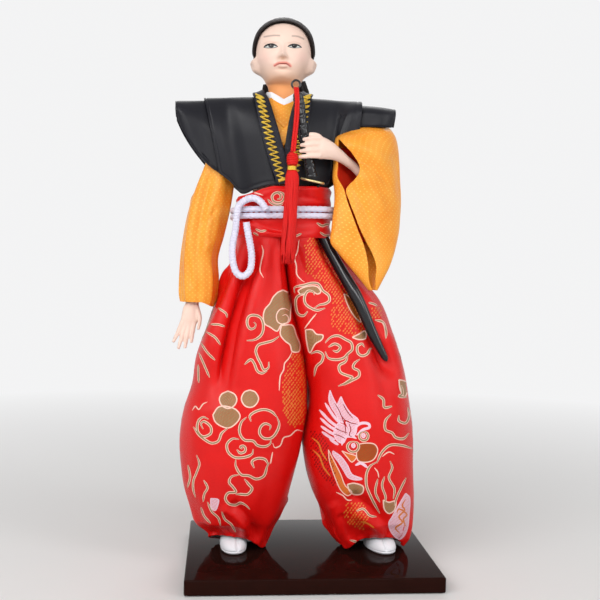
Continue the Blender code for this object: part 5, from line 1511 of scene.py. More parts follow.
@dataclass(frozen=True)
class Lapel:
    """A dark spangled collar band of the vest with gold zigzag braid along it."""

    name: str
    rows: tuple[tuple[Point, Point], ...]
    braid_at: float
    teeth: int = 17

    def grid(self, across: int, count: int) -> np.ndarray:
        """Places from the inner edge to the outer one, from the waist up round the neck."""
        inner = along([row[0] for row in self.rows], count)[:, None, :]
        outer = along([row[1] for row in self.rows], count)[:, None, :]
        share = np.linspace(0, 1, across)[None, :, None]
        return inner * (1 - share) + outer * share

    def normal(self, grid: np.ndarray) -> np.ndarray:
        """Unit directions out of the band."""
        found = np.cross(np.gradient(grid, axis=0), np.gradient(grid, axis=1))
        found /= np.linalg.norm(found, axis=2, keepdims=True)
        return -found if found[10, 10, 1] > 0 else found

    def build(self) -> None:
        """Makes the band and the braid."""
        grid = self.grid(25, 201)
        normal = self.normal(grid)
        share = np.linspace(-1, 1, 25)[None, :, None]
        crowned = grid + normal * (0.28 * (1 - share**6))
        band = Bench.grid(self.name + "_band", crowned, outward=(BODY_X, 0.0, 235.0))
        Bench.wall(band, 0.9)
        Bench.soften(band, 0.2)
        Bench.deliver(band, [BLACK_VELVET], [self.name])
        Cloth.declare(band, crowned, "folded", ["kimono_bodice"])
        low, high = 0.02, 0.585
        count = self.teeth * 20 + 1
        at = np.linspace(low, high, count) * 200
        phase = np.linspace(0, self.teeth, count)
        swing = np.abs((phase % 1.0) - 0.5) * 4 - 1
        half = np.linspace(0.24, 0.25, count)
        path = self.on(crowned, normal, at, (self.braid_at + half * swing) * 24, 0.28)
        twist = 0.09 * np.cos(full_turn(11) * 2 + np.arange(count)[:, None] * 1.05)
        braid = Bench.tube(self.name + "_zigzag", path, 0.82, 0.34, 10, relief=twist)
        Bench.deliver(braid, [GOLD_BRAID], [self.name + "_braid"])

    @staticmethod
    def on(grid: np.ndarray, normal: np.ndarray, row: np.ndarray, column: np.ndarray,
           lift: float) -> np.ndarray:
        """Places on the band at fractional rows and columns, lifted off it."""
        row, column = np.broadcast_arrays(row, np.clip(column, 0.0, 24.0))
        i = np.minimum(row.astype(int), grid.shape[0] - 2)
        j = np.minimum(column.astype(int), grid.shape[1] - 2)
        a, b = (row - i)[:, None], (column - j)[:, None]
        found = (grid[i, j] * (1 - a) + grid[i + 1, j] * a) * (1 - b) + (grid[i, j + 1] * (1 - a)
                                                                       + grid[i + 1, j + 1] * a) * b
        return found + normal[i, j] * lift


RIGHT_LAPEL = Lapel("right_lapel", (
    ((-12.2, -20.2, 207.4), (-20.8, -20.0, 207.2)), ((-15.0, -20.2, 217.0), (-24.4, -19.8, 217.0)),
    ((-18.4, -19.4, 229.0), (-28.4, -19.0, 229.6)), ((-22.2, -17.2, 242.0), (-31.4, -16.8, 243.0)),
    ((-25.6, -13.0, 253.0), (-33.4, -12.6, 253.4)), ((-28.2, -5.0, 259.0), (-34.0, -4.6, 257.4)),
    ((-27.6, 4.0, 260.4), (-33.0, 7.0, 257.4)), ((-23.4, 11.2, 260.4), (-27.6, 15.0, 257.0)),
    ((-17.5, 12.6, 260.0), (-17.5, 17.2, 256.6))), 0.62)
LEFT_LAPEL = Lapel("left_lapel", (
    ((-20.0, -17.9, 207.4), (-9.8, -18.0, 207.4)), ((-18.6, -17.9, 217.0), (-7.4, -18.0, 218.0)),
    ((-16.8, -17.6, 229.0), (-5.2, -17.6, 230.0)), ((-14.8, -16.8, 242.0), (-3.9, -16.4, 243.0)),
    ((-11.6, -13.0, 253.0), (-2.6, -12.6, 253.8)), ((-7.2, -5.0, 259.0), (-1.0, -4.6, 257.6)),
    ((-7.4, 4.0, 260.4), (-2.0, 7.0, 257.4)), ((-11.4, 11.2, 260.4), (-7.4, 15.0, 257.0)),
    ((-17.1, 12.6, 260.0), (-17.1, 17.2, 256.6))), 0.66)


class Hand:
    """A moulded hand: rods for the palm and fingers melted into one smooth skin."""

    @staticmethod
    def mould(name: str, rods: Sequence[bpy.types.Object], node: str) -> bpy.types.Object:
        """Melts the rods together, smooths the joins and dresses the hand."""
        made = Bench.merged(name, rods)
        Bench.applied(made, "REMESH", mode="VOXEL", voxel_size=0.42 * MM, use_smooth_shade=True)
        Bench.applied(made, "SMOOTH", factor=0.5, iterations=7)
        bare = made.data.attributes.new("paint_and_shade", "FLOAT_COLOR", "POINT")
        bare.data.foreach_set("color", np.zeros(4 * len(made.data.vertices), np.float32))
        bpy.ops.object.shade_smooth()
        return Bench.deliver(made, [SKIN], [node])

    @staticmethod
    def finger(places: Sequence[Point], root: float, tip: float) -> bpy.types.Object:
        """One finger, a little thicker at its joints."""
        share = np.linspace(0, 1, 24)
        thick = root + (tip - root) * share + 0.10 * (bell(share, 0.42, 0.09) + bell(share, 0.76, 0.08))
        return Bench.tube("finger", along(places, 24), thick, thick * 0.92, 14)


@dataclass(frozen=True)
class RightArm:
    """The hanging arm: sleeve, red lining and open hand."""

    rows: Rows = ((143.8, -71.4, -53.4, -1.0, 8.6), (147.0, -71.8, -52.2, -1.0, 9.2),
                  (156.0, -71.9, -51.4, -0.6, 9.6), (168.0, -71.5, -52.0, -0.2, 9.4),
                  (180.0, -70.3, -49.0, 0.0, 9.0), (192.0, -68.4, -46.4, 0.2, 8.4),
                  (203.0, -65.4, -44.6, 0.4, 7.8), (217.0, -59.8, -43.0, 0.6, 7.2),
                  (230.0, -55.0, -41.6, 0.6, 6.4), (241.0, -51.0, -41.0, 0.6, 5.6))
    creases: tuple[Crease, ...] = (
        Crease(((213.0, 168.0), (204.0, 200.0), (198.0, 235.0), (196.0, 268.0)), -1.0, 3.2),
        Crease(((206.0, 172.0), (198.0, 200.0), (190.0, 235.0), (187.0, 270.0)), 0.9, 3.6),
        Crease(((222.0, 176.0), (212.0, 205.0), (207.0, 240.0), (206.0, 272.0)), 0.9, 3.8),
        Crease(((216.0, 205.0), (209.0, 220.0), (199.0, 226.0)), -0.7, 2.6),
        Crease(((213.0, 240.0), (203.0, 252.0), (192.0, 258.0)), 0.5, 3.0),
        Crease(((186.0, 250.0), (190.0, 275.0), (191.0, 292.0)), -0.7, 2.6),
    )
    palm: Rows = ((-63.4, -1.8, 160), (-63.9, -1.8, 148), (-65.8, -3.0, 139), (-66.6, -4.6, 130.5))
    fingers: tuple[Rows, ...] = (((-69.6, -4.2, 134), (-72.6, -6.0, 127), (-75.0, -6.8, 121.8)),
                                 ((-68.2, -4.6, 132), (-70.6, -6.4, 124), (-72.2, -7.0, 118.2)),
                                 ((-66.2, -4.8, 131.6), (-67.8, -6.6, 124), (-68.6, -7.4, 118.6)),
                                 ((-64.0, -4.8, 132.4), (-64.8, -6.4, 126), (-65.2, -7.2, 121.6)),
                                 ((-62.6, -3.2, 141), (-60.8, -5.6, 134.6), (-61.6, -7.4, 128.8)))

    def surface(self, z: np.ndarray, angle: np.ndarray, inset: float = 0.0) -> np.ndarray:
        """Places of the sleeve's cloth, or of a layer inside it."""
        table = Profile(self.rows)
        low, high = table.read(z, 1), table.read(z, 2)
        x, wide = (low + high) / 2, (high - low) / 2 - inset
        c, s = np.cos(angle), np.sin(angle)
        fold = 0.7 * ramp(z, 140, 150) * (1 - ramp(z, 225, 240))
        fine = 0.22 * np.cos(13 * angle + z * 0.07) * (1 - ramp(z, 150, 200))
        grow = 1 + (fold * (np.cos(5 * angle + z * 0.03) + 0.2) + fine) / wide * (inset == 0)
        drop = -2.6 * ramp(c, 0.2, 1.0) * (1 - ramp(z, 143, 152))
        deep = table.read(z, 4) - inset
        return placed(x + wide * c * grow, table.read(z, 3) + deep * s * grow, z + drop)

    def build(self) -> None:
        """Makes the sleeve, its lining and the hand."""
        z = np.linspace(143.8, 241.0, 190)[:, None]
        angle = full_turn(181)
        points = Cloth.creased(self.surface(z, angle), self.creases, (-60.0, 0.0), (0.0, 180.0))
        points[:, -1] = points[:, 0]
        sleeve = Bench.grid("hanging_sleeve", points, outward=(-58.0, 0.0, 190.0))
        Bench.wall(sleeve, SLEEVE_WALL)
        Bench.soften(sleeve, 0.2)
        Bench.deliver(sleeve, [YELLOW_SATIN], ["right_sleeve"])
        Cloth.declare(sleeve, points, "hung", ["torso_core"])
        inner = self.surface(np.linspace(145.2, 176.0, 40)[:, None], angle, LINING_INSET)
        inner[:, -1] = inner[:, 0]
        lining = Bench.grid("hanging_sleeve_lining", inner, outward=(-62.0, 0.0, 160.0))
        Bench.wall(lining, LINING_WALL)
        Bench.deliver(lining, [RED_LINING], ["right_sleeve_lining"])
        Cloth.declare(lining, inner, "hung", ["right_sleeve"])
        share = np.linspace(0, 1, 50)
        wide = np.interp(share, [0, 0.3, 0.5, 0.7, 0.88, 1.0], [3.0, 2.9, 3.1, 4.4, 4.8, 3.4])
        deep = np.interp(share, [0, 0.3, 0.5, 0.7, 0.88, 1.0], [3.0, 2.8, 2.7, 2.5, 2.3, 1.7])
        rods = [Bench.tube("palm", along(self.palm, 50), wide, deep, 24)]
        rods += [Hand.finger(tip, 1.55, 0.85) for tip in self.fingers]
        Hand.mould("open_hand", rods, "right_hand")


@dataclass(frozen=True)
class LeftArm:
    """The raised arm: bag sleeve with its slit mouth, lining, and the fist round the hilt."""

    rows: Rows = ((246.5, 16.0, 32.0, 0.0, 6.0, 0.0, 20.0, 19.4),
                  (241.0, 15.2, 40.6, -2.0, 8.0, 0.02, 17.4, 16.6),
                  (237.0, 14.6, 43.6, -5.0, 12.0, 0.12, 15.8, 15.0),
                  (233.0, 11.0, 45.6, -7.6, 13.2, 0.34, 12.2, 11.6),
                  (228.2, 9.8, 46.8, -9.0, 13.2, 0.46, 11.0, 14.2),
                  (223.0, 9.4, 47.4, -9.0, 13.0, 0.48, 10.5, 19.0),
                  (218.0, 9.4, 47.8, -9.0, 12.8, 0.48, 10.8, 22.4),
                  (211.5, 9.0, 48.2, -9.6, 12.4, 0.5, 10.6, 20.6),
                  (205.0, 10.0, 48.6, -9.8, 11.6, 0.48, 14.2, 15.4),
                  (199.0, 10.2, 48.6, -10.4, 10.8, 0.46, 16.0, 17.1),
                  (191.0, 9.4, 48.0, -11.6, 9.8, 0.44, 19.0, 20.2),
                  (184.0, 8.6, 47.2, -13.2, 8.4, 0.42, 21.8, 23.2),
                  (177.0, 8.2, 45.4, -15.2, 6.8, 0.38, 24.8, 27.2),
                  (171.0, 13.0, 43.2, -16.8, 5.6, 0.3, 26.8, 30.6),
                  (164.6, 18.6, 40.4, -18.2, 4.6, 0.2, 28.0, 32.6),
                  (158.0, 24.4, 36.8, -18.8, 3.8, 0.1, 28.6, 32.2),
                  (151.6, 29.8, 33.4, -19.0, 2.2, 0.0, 31.0, 32.6))
    creases: tuple[Crease, ...] = (
        Crease(((345.0, 140.0), (360.0, 148.0), (377.0, 156.0), (388.0, 170.0)), 1.0, 5.0),
        Crease(((346.0, 152.0), (362.0, 162.0), (378.0, 172.0), (392.0, 190.0)), -1.0, 4.0),
        Crease(((352.0, 166.0), (364.0, 178.0), (376.0, 196.0), (386.0, 222.0)), 0.8, 5.0),
        Crease(((348.0, 180.0), (358.0, 196.0), (368.0, 220.0), (374.0, 250.0)), -0.8, 4.0),
        Crease(((392.0, 150.0), (399.0, 176.0), (401.0, 205.0)), -0.8, 4.0),
        Crease(((350.0, 205.0), (360.0, 228.0), (369.0, 258.0)), 0.6, 4.0),
    )
    wrist: Rows = ((25.2, -15.4, 213.2), (20.2, -16.8, 217.6), (15.4, -19.8, 220.6), (10.8, -23.2, 223.0),
                   (6.6, -25.6, 224.6), (2.2, -26.8, 225.8), (-1.8, -26.6, 226.2))

    def surface(self, z: np.ndarray, share: np.ndarray, inset: float = 0.0) -> np.ndarray:
        """Places of the sleeve: share runs from one edge of its mouth round the back to the other."""
        table = Profile([(-row[0], *row[1:]) for row in self.rows])
        low, high, centre_y, deep, slant, near, far = (table.read(-z, k) for k in range(1, 8))
        x, wide = (low + high) / 2, (high - low) / 2
        start = -np.arccos(np.clip((near - x) / wide, -0.985, 0.985))
        end = -np.arccos(np.clip((far - x) / wide, -0.985, 0.985)) - 2 * math.pi
        angle = start + (end - start) * share
        c, s = np.cos(angle), np.sin(angle)
        px = x + (wide - inset) * c
        thin = np.where(s > 0, 0.55 + 0.45 * ramp(c, -1.0, 0.2), 1.0)
        return placed(px, centre_y + (deep - inset) * s * thin + slant * (px - x), z)

    def build(self) -> None:
        """Makes the sleeve, its lining and the fist."""
        z = np.linspace(246.5, 152.0, 200)[:, None]
        share = np.linspace(0, 1, 201)[None, :]
        points = Cloth.creased(self.surface(z, share), self.creases, (28.0, -8.0), (0.0, 180.0))
        sleeve = Bench.grid("raised_sleeve", points, outward=(28.0, -8.0, 205.0))
        Bench.wall(sleeve, SLEEVE_WALL, 0.0)
        Bench.soften(sleeve, 0.2)
        Bench.deliver(sleeve, [YELLOW_SATIN], ["left_sleeve"])
        Cloth.declare(sleeve, points, "hung", ["left_arm_wire"])
        share = np.linspace(0.07, 0.93, 121)[None, :]
        inner = self.surface(np.linspace(228.0, 178.0, 90)[:, None], share, LINING_INSET)
        lining = Bench.grid("raised_sleeve_lining", inner, outward=(28.0, -8.0, 205.0))
        Bench.wall(lining, LINING_WALL, 0.0)
        Bench.deliver(lining, [RED_LINING], ["left_sleeve_lining"])
        Cloth.declare(lining, inner, "hung", ["left_sleeve"])
        share = np.linspace(0, 1, 60)
        wide = np.interp(share, [0, 0.2, 0.4, 0.6, 0.75, 0.9, 1.0], [2.4, 2.4, 2.6, 3.4, 4.8, 5.9, 5.0])
        deep = np.interp(share, [0, 0.2, 0.4, 0.6, 0.75, 0.9, 1.0], [2.6, 2.6, 2.7, 2.9, 3.1, 3.3, 2.6])
        rods = [Bench.tube("palm", along(self.wrist, 60), wide, deep, 24, side=(0, 0, 1))]
        for k in range(4):
            z0 = 230.6 - 3.05 * k
            x = -6.6 - 0.4 * k + (0.9 if k == 0 else 0)
            rods.append(Hand.finger([(1.0, -28.4, z0 + 0.2), (-3.6, -29.4, z0), (x, -29.3, z0 - 0.4),
                                     (x - 2.6, -27.6, z0 - 0.6)], 1.62, 1.05))
        rods.append(Hand.finger([(2.6, -28.0, 229.4), (-1.2, -28.6, 232.2), (-5.2, -28.0, 232.8)], 1.6, 1.1))
        Hand.mould("fist", rods, "left_hand")


def sash_ring(z: np.ndarray | float, spread: float, angle: np.ndarray) -> np.ndarray:
    """Places round the sash at one height, spread out from it."""
    x, y = superellipse(angle, 3.0)
    return placed(BODY_X + (SASH_HALF_WIDTH + spread) * x, (SASH_HALF_DEPTH + spread) * y, z)


@dataclass(frozen=True)
class Sash:
    """The brocade sash round the waist."""

    low: float = 179.4
    high: float = 206.4
    wall: float = 1.5
    creases: tuple[Crease, ...] = (
        Crease(((238.0, 212.0), (262.0, 226.0), (292.0, 232.0), (330.0, 228.0)), -0.8, 3.0),
        Crease(((246.0, 222.0), (280.0, 236.0), (320.0, 236.0)), 0.6, 3.0),
        Crease(((300.0, 196.0), (318.0, 200.0), (336.0, 199.0)), -0.7, 2.4),
        Crease(((242.0, 198.0), (262.0, 200.0), (286.0, 196.0)), 0.6, 3.0),
    )

    def build(self) -> bpy.types.Object:
        """Makes the sash as a folded band, bulging over the top of the scabbard."""
        share = np.linspace(0, 1, 60)[:, None]
        angle = full_turn(241)
        z = self.low + (self.high - self.low) * share
        spread = np.interp(share, [0.0, 0.06, 0.5, 0.94, 1.0], [-0.7, 0.0, -0.4, 0.0, -0.7])
        outer = sash_ring(z, 0.0, angle)
        x, y = superellipse(angle, 3.0)
        outer[..., 0] += spread * x
        outer[..., 1] += spread * y
        over = bell(outer[..., 0], -1.2, 6.5) * ramp(outer[..., 2], 196.0, 206.0) * (outer[..., 1] < 0)
        outer[..., 1] -= 4.3 * over
        pull = 0.35 * np.sin(share * 22 + 2.0 * np.sin(angle * 2)) * ramp(share, 0, 0.1)
        pull = pull * (1 - ramp(share, 0.9, 1))
        outer[..., 0] += pull * x
        outer[..., 1] += pull * y
        outer = Cloth.creased(outer, self.creases, (BODY_X, 0.0), (0.0, 180.0))
        dip = 5.2 * ramp(BODY_X - 5 - outer[..., 0], 0, 20) * ramp(share, 0.5, 1.0)
        outer[..., 2] -= dip
        outer[:, -1] = outer[:, 0]
        made = Bench.grid("brocade_sash", outer, outward=(BODY_X, 0.0, 193.0))
        Bench.wall(made, self.wall)
        Bench.soften(made, 0.5, 3)
        Bench.deliver(made, [RED_BROCADE], ["obi_sash"])
        Cloth.declare(made, outer, "folded", ["hakama_right_leg", "hakama_left_leg"])
        return made


class Thread(Enum):
    """The threads of the woven ornament, in the order of their finishes."""

    GOLD = 0
    PALE = 1
    SILVER = 2
    EMBER = 3
    AMBER = 4
    UMBER = 5
    SCALE = 6


THREAD_FINISHES = (GOLD_THREAD, PALE_THREAD, SILVER_THREAD, EMBER_THREAD, AMBER_THREAD, UMBER_THREAD,
                   SCALE_RED)


class Stitch(Enum):
    """How a motif is worked: its filling thread, its edge thread and the width in pixels."""

    SCROLL = (Thread.GOLD, Thread.PALE, 2.7)
    FLAME = (Thread.GOLD, Thread.PALE, 2.3)
    FINE = (None, Thread.PALE, 1.2)
    MANE = (None, Thread.SILVER, 2.8)
    EMBER = (None, Thread.EMBER, 1.6)
    GOLD_FILL = (Thread.GOLD, Thread.PALE, 1.3)
    AMBER_FILL = (Thread.AMBER, Thread.PALE, 1.1)
    EMBER_FILL = (Thread.EMBER, Thread.PALE, 1.0)
    SILVER_FILL = (Thread.SILVER, Thread.SILVER, 1.2)
    SCALES = (Thread.EMBER, None, 1.5)
    DARK_SCALES = (Thread.UMBER, None, 1.6)
    SEAM = (None, Thread.UMBER, 0.9)


@dataclass(frozen=True)
class Sampler:
    """Motifs drawn on one enlarged part of the picture.

    Attributes:
        left: pixel of the picture at the part's left edge.
        top: pixel at its top edge.
        scale: how many times it is enlarged.
        motifs: how each motif is worked and the line it follows, as x,y pairs on the enlarged part.
        scale_pitch, scale_length, scale_slope, scale_share: how the dragon's scales are scattered.
        hatch_pitch, hatch_width, hatch_slope: how the filled motifs are hatched.
    """

    left: float
    top: float
    scale: float
    motifs: tuple[tuple[Stitch, str], ...]
    scale_pitch: tuple[float, float] = (3.4, 2.3)
    scale_length: float = 2.3
    scale_slope: float = -1.0
    scale_share: float = 0.9
    hatch_pitch: float = 1.35
    hatch_width: float = 1.1
    hatch_slope: float = 0.35

    def line(self, text: str) -> list[tuple[float, float]]:
        """Pixels of a motif's line."""
        pairs = (pair.split(",") for pair in text.split())
        return [(self.left + float(x) / self.scale, self.top + float(y) / self.scale) for x, y in pairs]

    def work(self, cloth: Embroidery) -> None:
        """Lays all the motifs on the cloth."""
        for number, (stitch, text) in enumerate(self.motifs):
            filling, edge, width = stitch.value
            line = self.line(text)
            if stitch in (Stitch.SCALES, Stitch.DARK_SCALES):
                size = (self.scale_length, width)
                cloth.dashes(filling.value, line, self.scale_pitch, size, self.scale_slope, number,
                             self.scale_share)
            elif stitch.name.endswith("FILL"):
                cloth.hatch(filling.value, line, self.hatch_pitch, self.hatch_width, self.hatch_slope)
                cloth.stroke(edge.value, line, width, 0.05, closed=True)
            elif filling is None:
                cloth.stroke(edge.value, line, width, 0.08 if stitch is Stitch.SEAM else 0.06)
            else:
                cloth.edged(filling.value, edge.value, line, width, lift=0.02)


CLOUDS_ABOVE_RIGHT = Sampler(175.0, 230.0, 9.22, (
    (Stitch.FINE, "800,140 815,200 795,300 785,380 815,440"),
    (Stitch.GOLD_FILL, "997,555 950,574 903,621 875,677 828,734 814,800 828,866 875,894 941,932 979,875 "
                       "1050,845 1063,760 1066,650 1040,580"),
    (Stitch.FINE, "1050,745 1010,725 965,735 935,785 945,845 990,868 1035,850 1045,810 1020,780 990,790"),
    (Stitch.GOLD_FILL, "980,880 970,960 1010,1020 1060,1060 1080,1120 1140,1120 1150,1060 1120,980 1080,880"),
    (Stitch.SCROLL, "660,1020 740,1010 800,960 815,880 790,810 730,785 680,800 665,860 690,910 730,905 "
                    "745,870 725,850"),
    (Stitch.SCROLL, "960,980 900,1020 830,1040 770,1060 745,1110 760,1170 790,1230 820,1290 860,1270 "
                    "865,1215"),
    (Stitch.SCROLL, "640,1240 700,1195 730,1230 760,1300 800,1320 850,1300"),
    (Stitch.FINE, "1080,1120 1050,1180 1010,1230 1000,1290 970,1350 960,1480"),
    (Stitch.SCALES, "1090,1130 1050,1220 1020,1300 990,1380 980,1500 1000,1700 1080,1800 1190,1800 "
                    "1230,1500 1200,1150"),
    (Stitch.FLAME, "400,720 470,770 480,810"),
    (Stitch.FLAME, "330,870 400,872 460,890"),
    (Stitch.FLAME, "290,940 370,990 420,1060"),
    (Stitch.FLAME, "240,1040 300,1130 370,1200"),
    (Stitch.FLAME, "220,1130 260,1220 320,1360"),
    (Stitch.FLAME, "215,1240 216,1320 220,1410"),
))
CLOUDS_BELOW_RIGHT = Sampler(175.0, 390.0, 9.22, (
    (Stitch.GOLD_FILL, "490,10 550,40 570,90 545,145 490,170 435,145 410,90 430,40"),
    (Stitch.GOLD_FILL, "690,0 740,20 770,80 740,140 690,160 640,140 612,80 640,20"),
    (Stitch.GOLD_FILL, "350,230 400,160 470,150 560,180 600,240 560,310 490,350 420,330 370,290"),
    (Stitch.SCROLL, "490,350 430,400 400,470 340,490 280,460 220,410 170,340"),
    (Stitch.SCROLL, "260,360 240,310 270,290 330,340 330,400 260,430 210,380 215,290 260,250 310,270"),
    (Stitch.FINE, "160,190 190,150 220,180 260,130 300,110"),
    (Stitch.SCROLL, "700,290 690,240 740,200 820,180 890,200 940,250"),
    (Stitch.SCROLL, "870,370 880,330 830,310 790,340 780,400 820,445 890,440 940,380 960,310 940,250"),
    (Stitch.SCROLL, "660,250 610,300 595,390 640,460 720,470 760,510 830,520 880,490 880,450"),
    (Stitch.SCROLL, "590,455 530,450 480,500 490,570 550,620 640,620 710,590 720,545"),
    (Stitch.SCROLL, "620,545 600,525 630,515 650,540 640,570 600,580 570,550"),
    (Stitch.SCROLL, "560,640 560,700 610,780 680,790 750,820 820,790 850,700 870,670"),
    (Stitch.SCROLL, "730,720 710,660 760,630 830,640 860,690"),
    (Stitch.SCROLL, "590,780 520,800 500,850 540,900 560,940 490,950 465,1000 500,1050 560,1060 600,1040 "
                    "650,1060 690,1100"),
    (Stitch.SCROLL, "640,820 680,870 710,910 670,960 600,960 560,960"),
    (Stitch.FINE, "1180,380 1120,370 1060,420 1000,440 970,510 920,530 900,490"),
    (Stitch.FINE, "900,570 890,620 880,680"),
    (Stitch.SCALES, "980,0 990,100 1010,200 1040,330 1110,350 1160,250 1190,100 1190,0"),
    (Stitch.FLAME, "200,600 225,680 200,760 170,840 170,920 190,990"),
    (Stitch.FLAME, "265,830 300,900 270,960 260,1030"),
    (Stitch.FLAME, "120,690 140,800 115,900"),
    (Stitch.SILVER_FILL, "330,1000 400,1010 395,1060 370,1110 335,1080"),
    (Stitch.FLAME, "300,1030 340,1120 400,1180 420,1250"),
    (Stitch.FLAME, "430,1120 460,1190 520,1240 560,1310"),
    (Stitch.FLAME, "240,1080 270,1160 330,1230"),
))
CLOUDS_ABOVE_LEFT = Sampler(285.0, 230.0, 9.22, (
    (Stitch.FINE, "130,90 115,200 90,260 105,330 110,410 150,460 180,480"),
    (Stitch.SCROLL, "90,580 90,530 170,510 250,490 310,500 350,560 400,600 410,650 370,680 320,690 270,720"),
    (Stitch.GOLD_FILL, "120,560 170,530 250,515 300,525 330,570 300,590 240,560 190,580 150,600"),
    (Stitch.SCROLL, "270,600 260,570 210,565 180,620 190,680 240,720 300,740 370,720"),
    (Stitch.SCROLL, "180,580 110,620 100,690 120,770 170,790 210,750"),
    (Stitch.SCALES, "180,90 260,60 400,150 520,350 640,560 760,760 700,980 560,960 420,900 430,740 "
                    "440,620 330,470 190,400"),
    (Stitch.AMBER_FILL, "540,590 600,620 660,720 700,850 640,800 580,700"),
    (Stitch.FINE, "290,770 240,830 180,910"),
    (Stitch.GOLD_FILL, "190,920 250,920 290,960 350,970 340,1010 280,1050 230,1130 200,1020"),
    (Stitch.SCROLL, "370,1040 420,990 490,975 560,1010 610,1040 620,1100 580,1140 540,1180 470,1195 "
                    "400,1180 370,1120"),
    (Stitch.SCROLL, "440,1110 480,1120 510,1080 460,1050 400,1080"),
    (Stitch.SCROLL, "240,1140 300,1120 350,1150 340,1210 290,1260 270,1350"),
    (Stitch.SCROLL, "580,1150 560,1210 500,1250 510,1310 570,1340 620,1360 560,1410 490,1440"),
    (Stitch.SCROLL, "690,1190 640,1230 630,1270 680,1300 680,1350 610,1390 540,1430"),
    (Stitch.SCROLL, "730,1080 710,1050 670,1070 670,1130 710,1160 760,1140 780,1100 800,1090"),
    (Stitch.GOLD_FILL, "620,990 680,960 740,930 740,1000 680,1010"),
    (Stitch.FLAME, "770,670 810,680 850,700"),
    (Stitch.SCALES, "790,700 890,720 890,830 800,820"),
    (Stitch.SCROLL, "830,830 900,850 930,930 930,1000"),
    (Stitch.GOLD_FILL, "1050,1380 1110,1400 1130,1470 1100,1540 1060,1470"),
))
DRAGON_LEFT = Sampler(285.0, 385.0, 8.96, (
    (Stitch.SILVER_FILL, "404,48 428,110 471,192 517,295 524,340 490,320 450,250 412,190 394,120"),
    (Stitch.SILVER_FILL, "502,104 538,181 589,253 651,305 661,350 630,360 569,315 517,300 486,253 "
                         "466,202 486,140"),
    (Stitch.MANE, "360,160 430,270 500,350"), (Stitch.MANE, "310,222 400,320 480,380"),
    (Stitch.MANE, "317,295 400,370 470,410"), (Stitch.MANE, "322,367 400,420 460,450"),
    (Stitch.MANE, "332,418 400,465 450,490"), (Stitch.MANE, "400,480 440,510 480,535"),
    (Stitch.SILVER_FILL, "480,340 540,370 570,430 545,480 520,520 470,500 440,440 450,380"),
    (Stitch.SILVER_FILL, "545,330 600,345 640,370 630,440 600,460 575,400"),
    (Stitch.SEAM, "445,160 486,230 515,300 540,370 545,440"),
    (Stitch.SEAM, "490,255 540,315 600,342 655,352"),
    (Stitch.SEAM, "450,385 500,410 560,430"), (Stitch.SEAM, "440,440 490,455 540,480"),
    (Stitch.SEAM, "575,350 590,400 575,450 600,462"), (Stitch.SEAM, "520,170 560,240 610,300"),
    (Stitch.SILVER_FILL, "630,545 615,562 598,550 600,530 618,524"),
    (Stitch.SILVER_FILL, "720,455 706,473 688,462 690,440 708,434"),
    (Stitch.SCROLL, "610,505 650,520 660,555 640,590 605,600 570,580 560,545 580,515 612,505"),
    (Stitch.SCROLL, "705,415 735,430 745,460 730,490 700,497 672,480 665,450 680,425 706,415"),
    (Stitch.MANE, "620,420 650,360 700,340 750,350 755,380 700,400 640,450"),
    (Stitch.MANE, "510,540 530,470 600,460 640,480"),
    (Stitch.AMBER_FILL, "660,530 720,520 800,530 830,580 800,660 740,690 660,680 640,620"),
    (Stitch.EMBER_FILL, "510,590 560,610 640,640 600,690 560,650"),
    (Stitch.MANE, "630,720 680,700 740,740"),
    (Stitch.SILVER_FILL, "430,590 500,640 560,720 600,800 690,840 640,850 570,830 530,770 480,690 430,620"),
    (Stitch.EMBER_FILL, "390,580 440,680 500,800 540,900 600,960 560,990 500,940 450,830 400,680"),
    (Stitch.GOLD_FILL, "560,890 620,880 700,910 690,970 620,980 580,950"),
    (Stitch.FINE, "460,960 520,990 560,1030 600,1030"),
    (Stitch.SCROLL, "820,700 870,600 940,540 1040,540 1140,570"),
    (Stitch.SCROLL, "820,690 760,730 730,800 730,900 760,980 800,1060 850,1150"),
    (Stitch.FINE, "870,640 930,600 980,620"), (Stitch.FINE, "800,740 830,780 840,830"),
    (Stitch.FLAME, "830,840 810,960 850,1050"), (Stitch.FLAME, "890,820 870,900 900,1000 900,1050"),
    (Stitch.FLAME, "940,680 960,740 930,830 980,930 970,1020"),
    (Stitch.FLAME, "1085,830 1040,920 1000,1010 980,1080"),
    (Stitch.GOLD_FILL, "880,1030 930,1050 990,1040 980,1120 930,1150 890,1110"),
    (Stitch.SILVER_FILL, "1080,970 1115,1010 1110,1150 1090,1300 1030,1380 960,1330 930,1240 960,1180 "
                         "1010,1090"),
    (Stitch.EMBER, "1080,1020 1050,1080 1070,1120 1020,1180 1050,1230 990,1280 1030,1330"),
    (Stitch.EMBER, "1000,1150 1020,1110 1090,1160 1060,1200 1080,1270"),
    (Stitch.SCROLL, "830,90 880,130 890,200 960,190"),
    (Stitch.SCROLL, "950,260 900,320 900,400 960,430 990,470 1060,480 1110,430"),
    (Stitch.SCROLL, "1100,200 1110,280 1080,340 1020,320 1020,270"),
    (Stitch.SCROLL, "1040,0 1050,80 1020,100 1090,110"),
    (Stitch.DARK_SCALES, "230,400 330,430 400,560 430,720 480,860 430,900 330,820 260,700 220,540"),
    (Stitch.EMBER, "240,470 300,520 330,600 380,680"), (Stitch.EMBER, "250,580 310,640 350,740 410,820"),
    (Stitch.FLAME, "640,1130 700,1110 760,1170 820,1180"), (Stitch.EMBER, "680,1220 740,1240 800,1280"),
    (Stitch.FLAME, "580,1390 660,1410 760,1450"),
    (Stitch.SCALES, "560,1040 700,1060 760,1180 700,1300 580,1260 520,1150"),
))
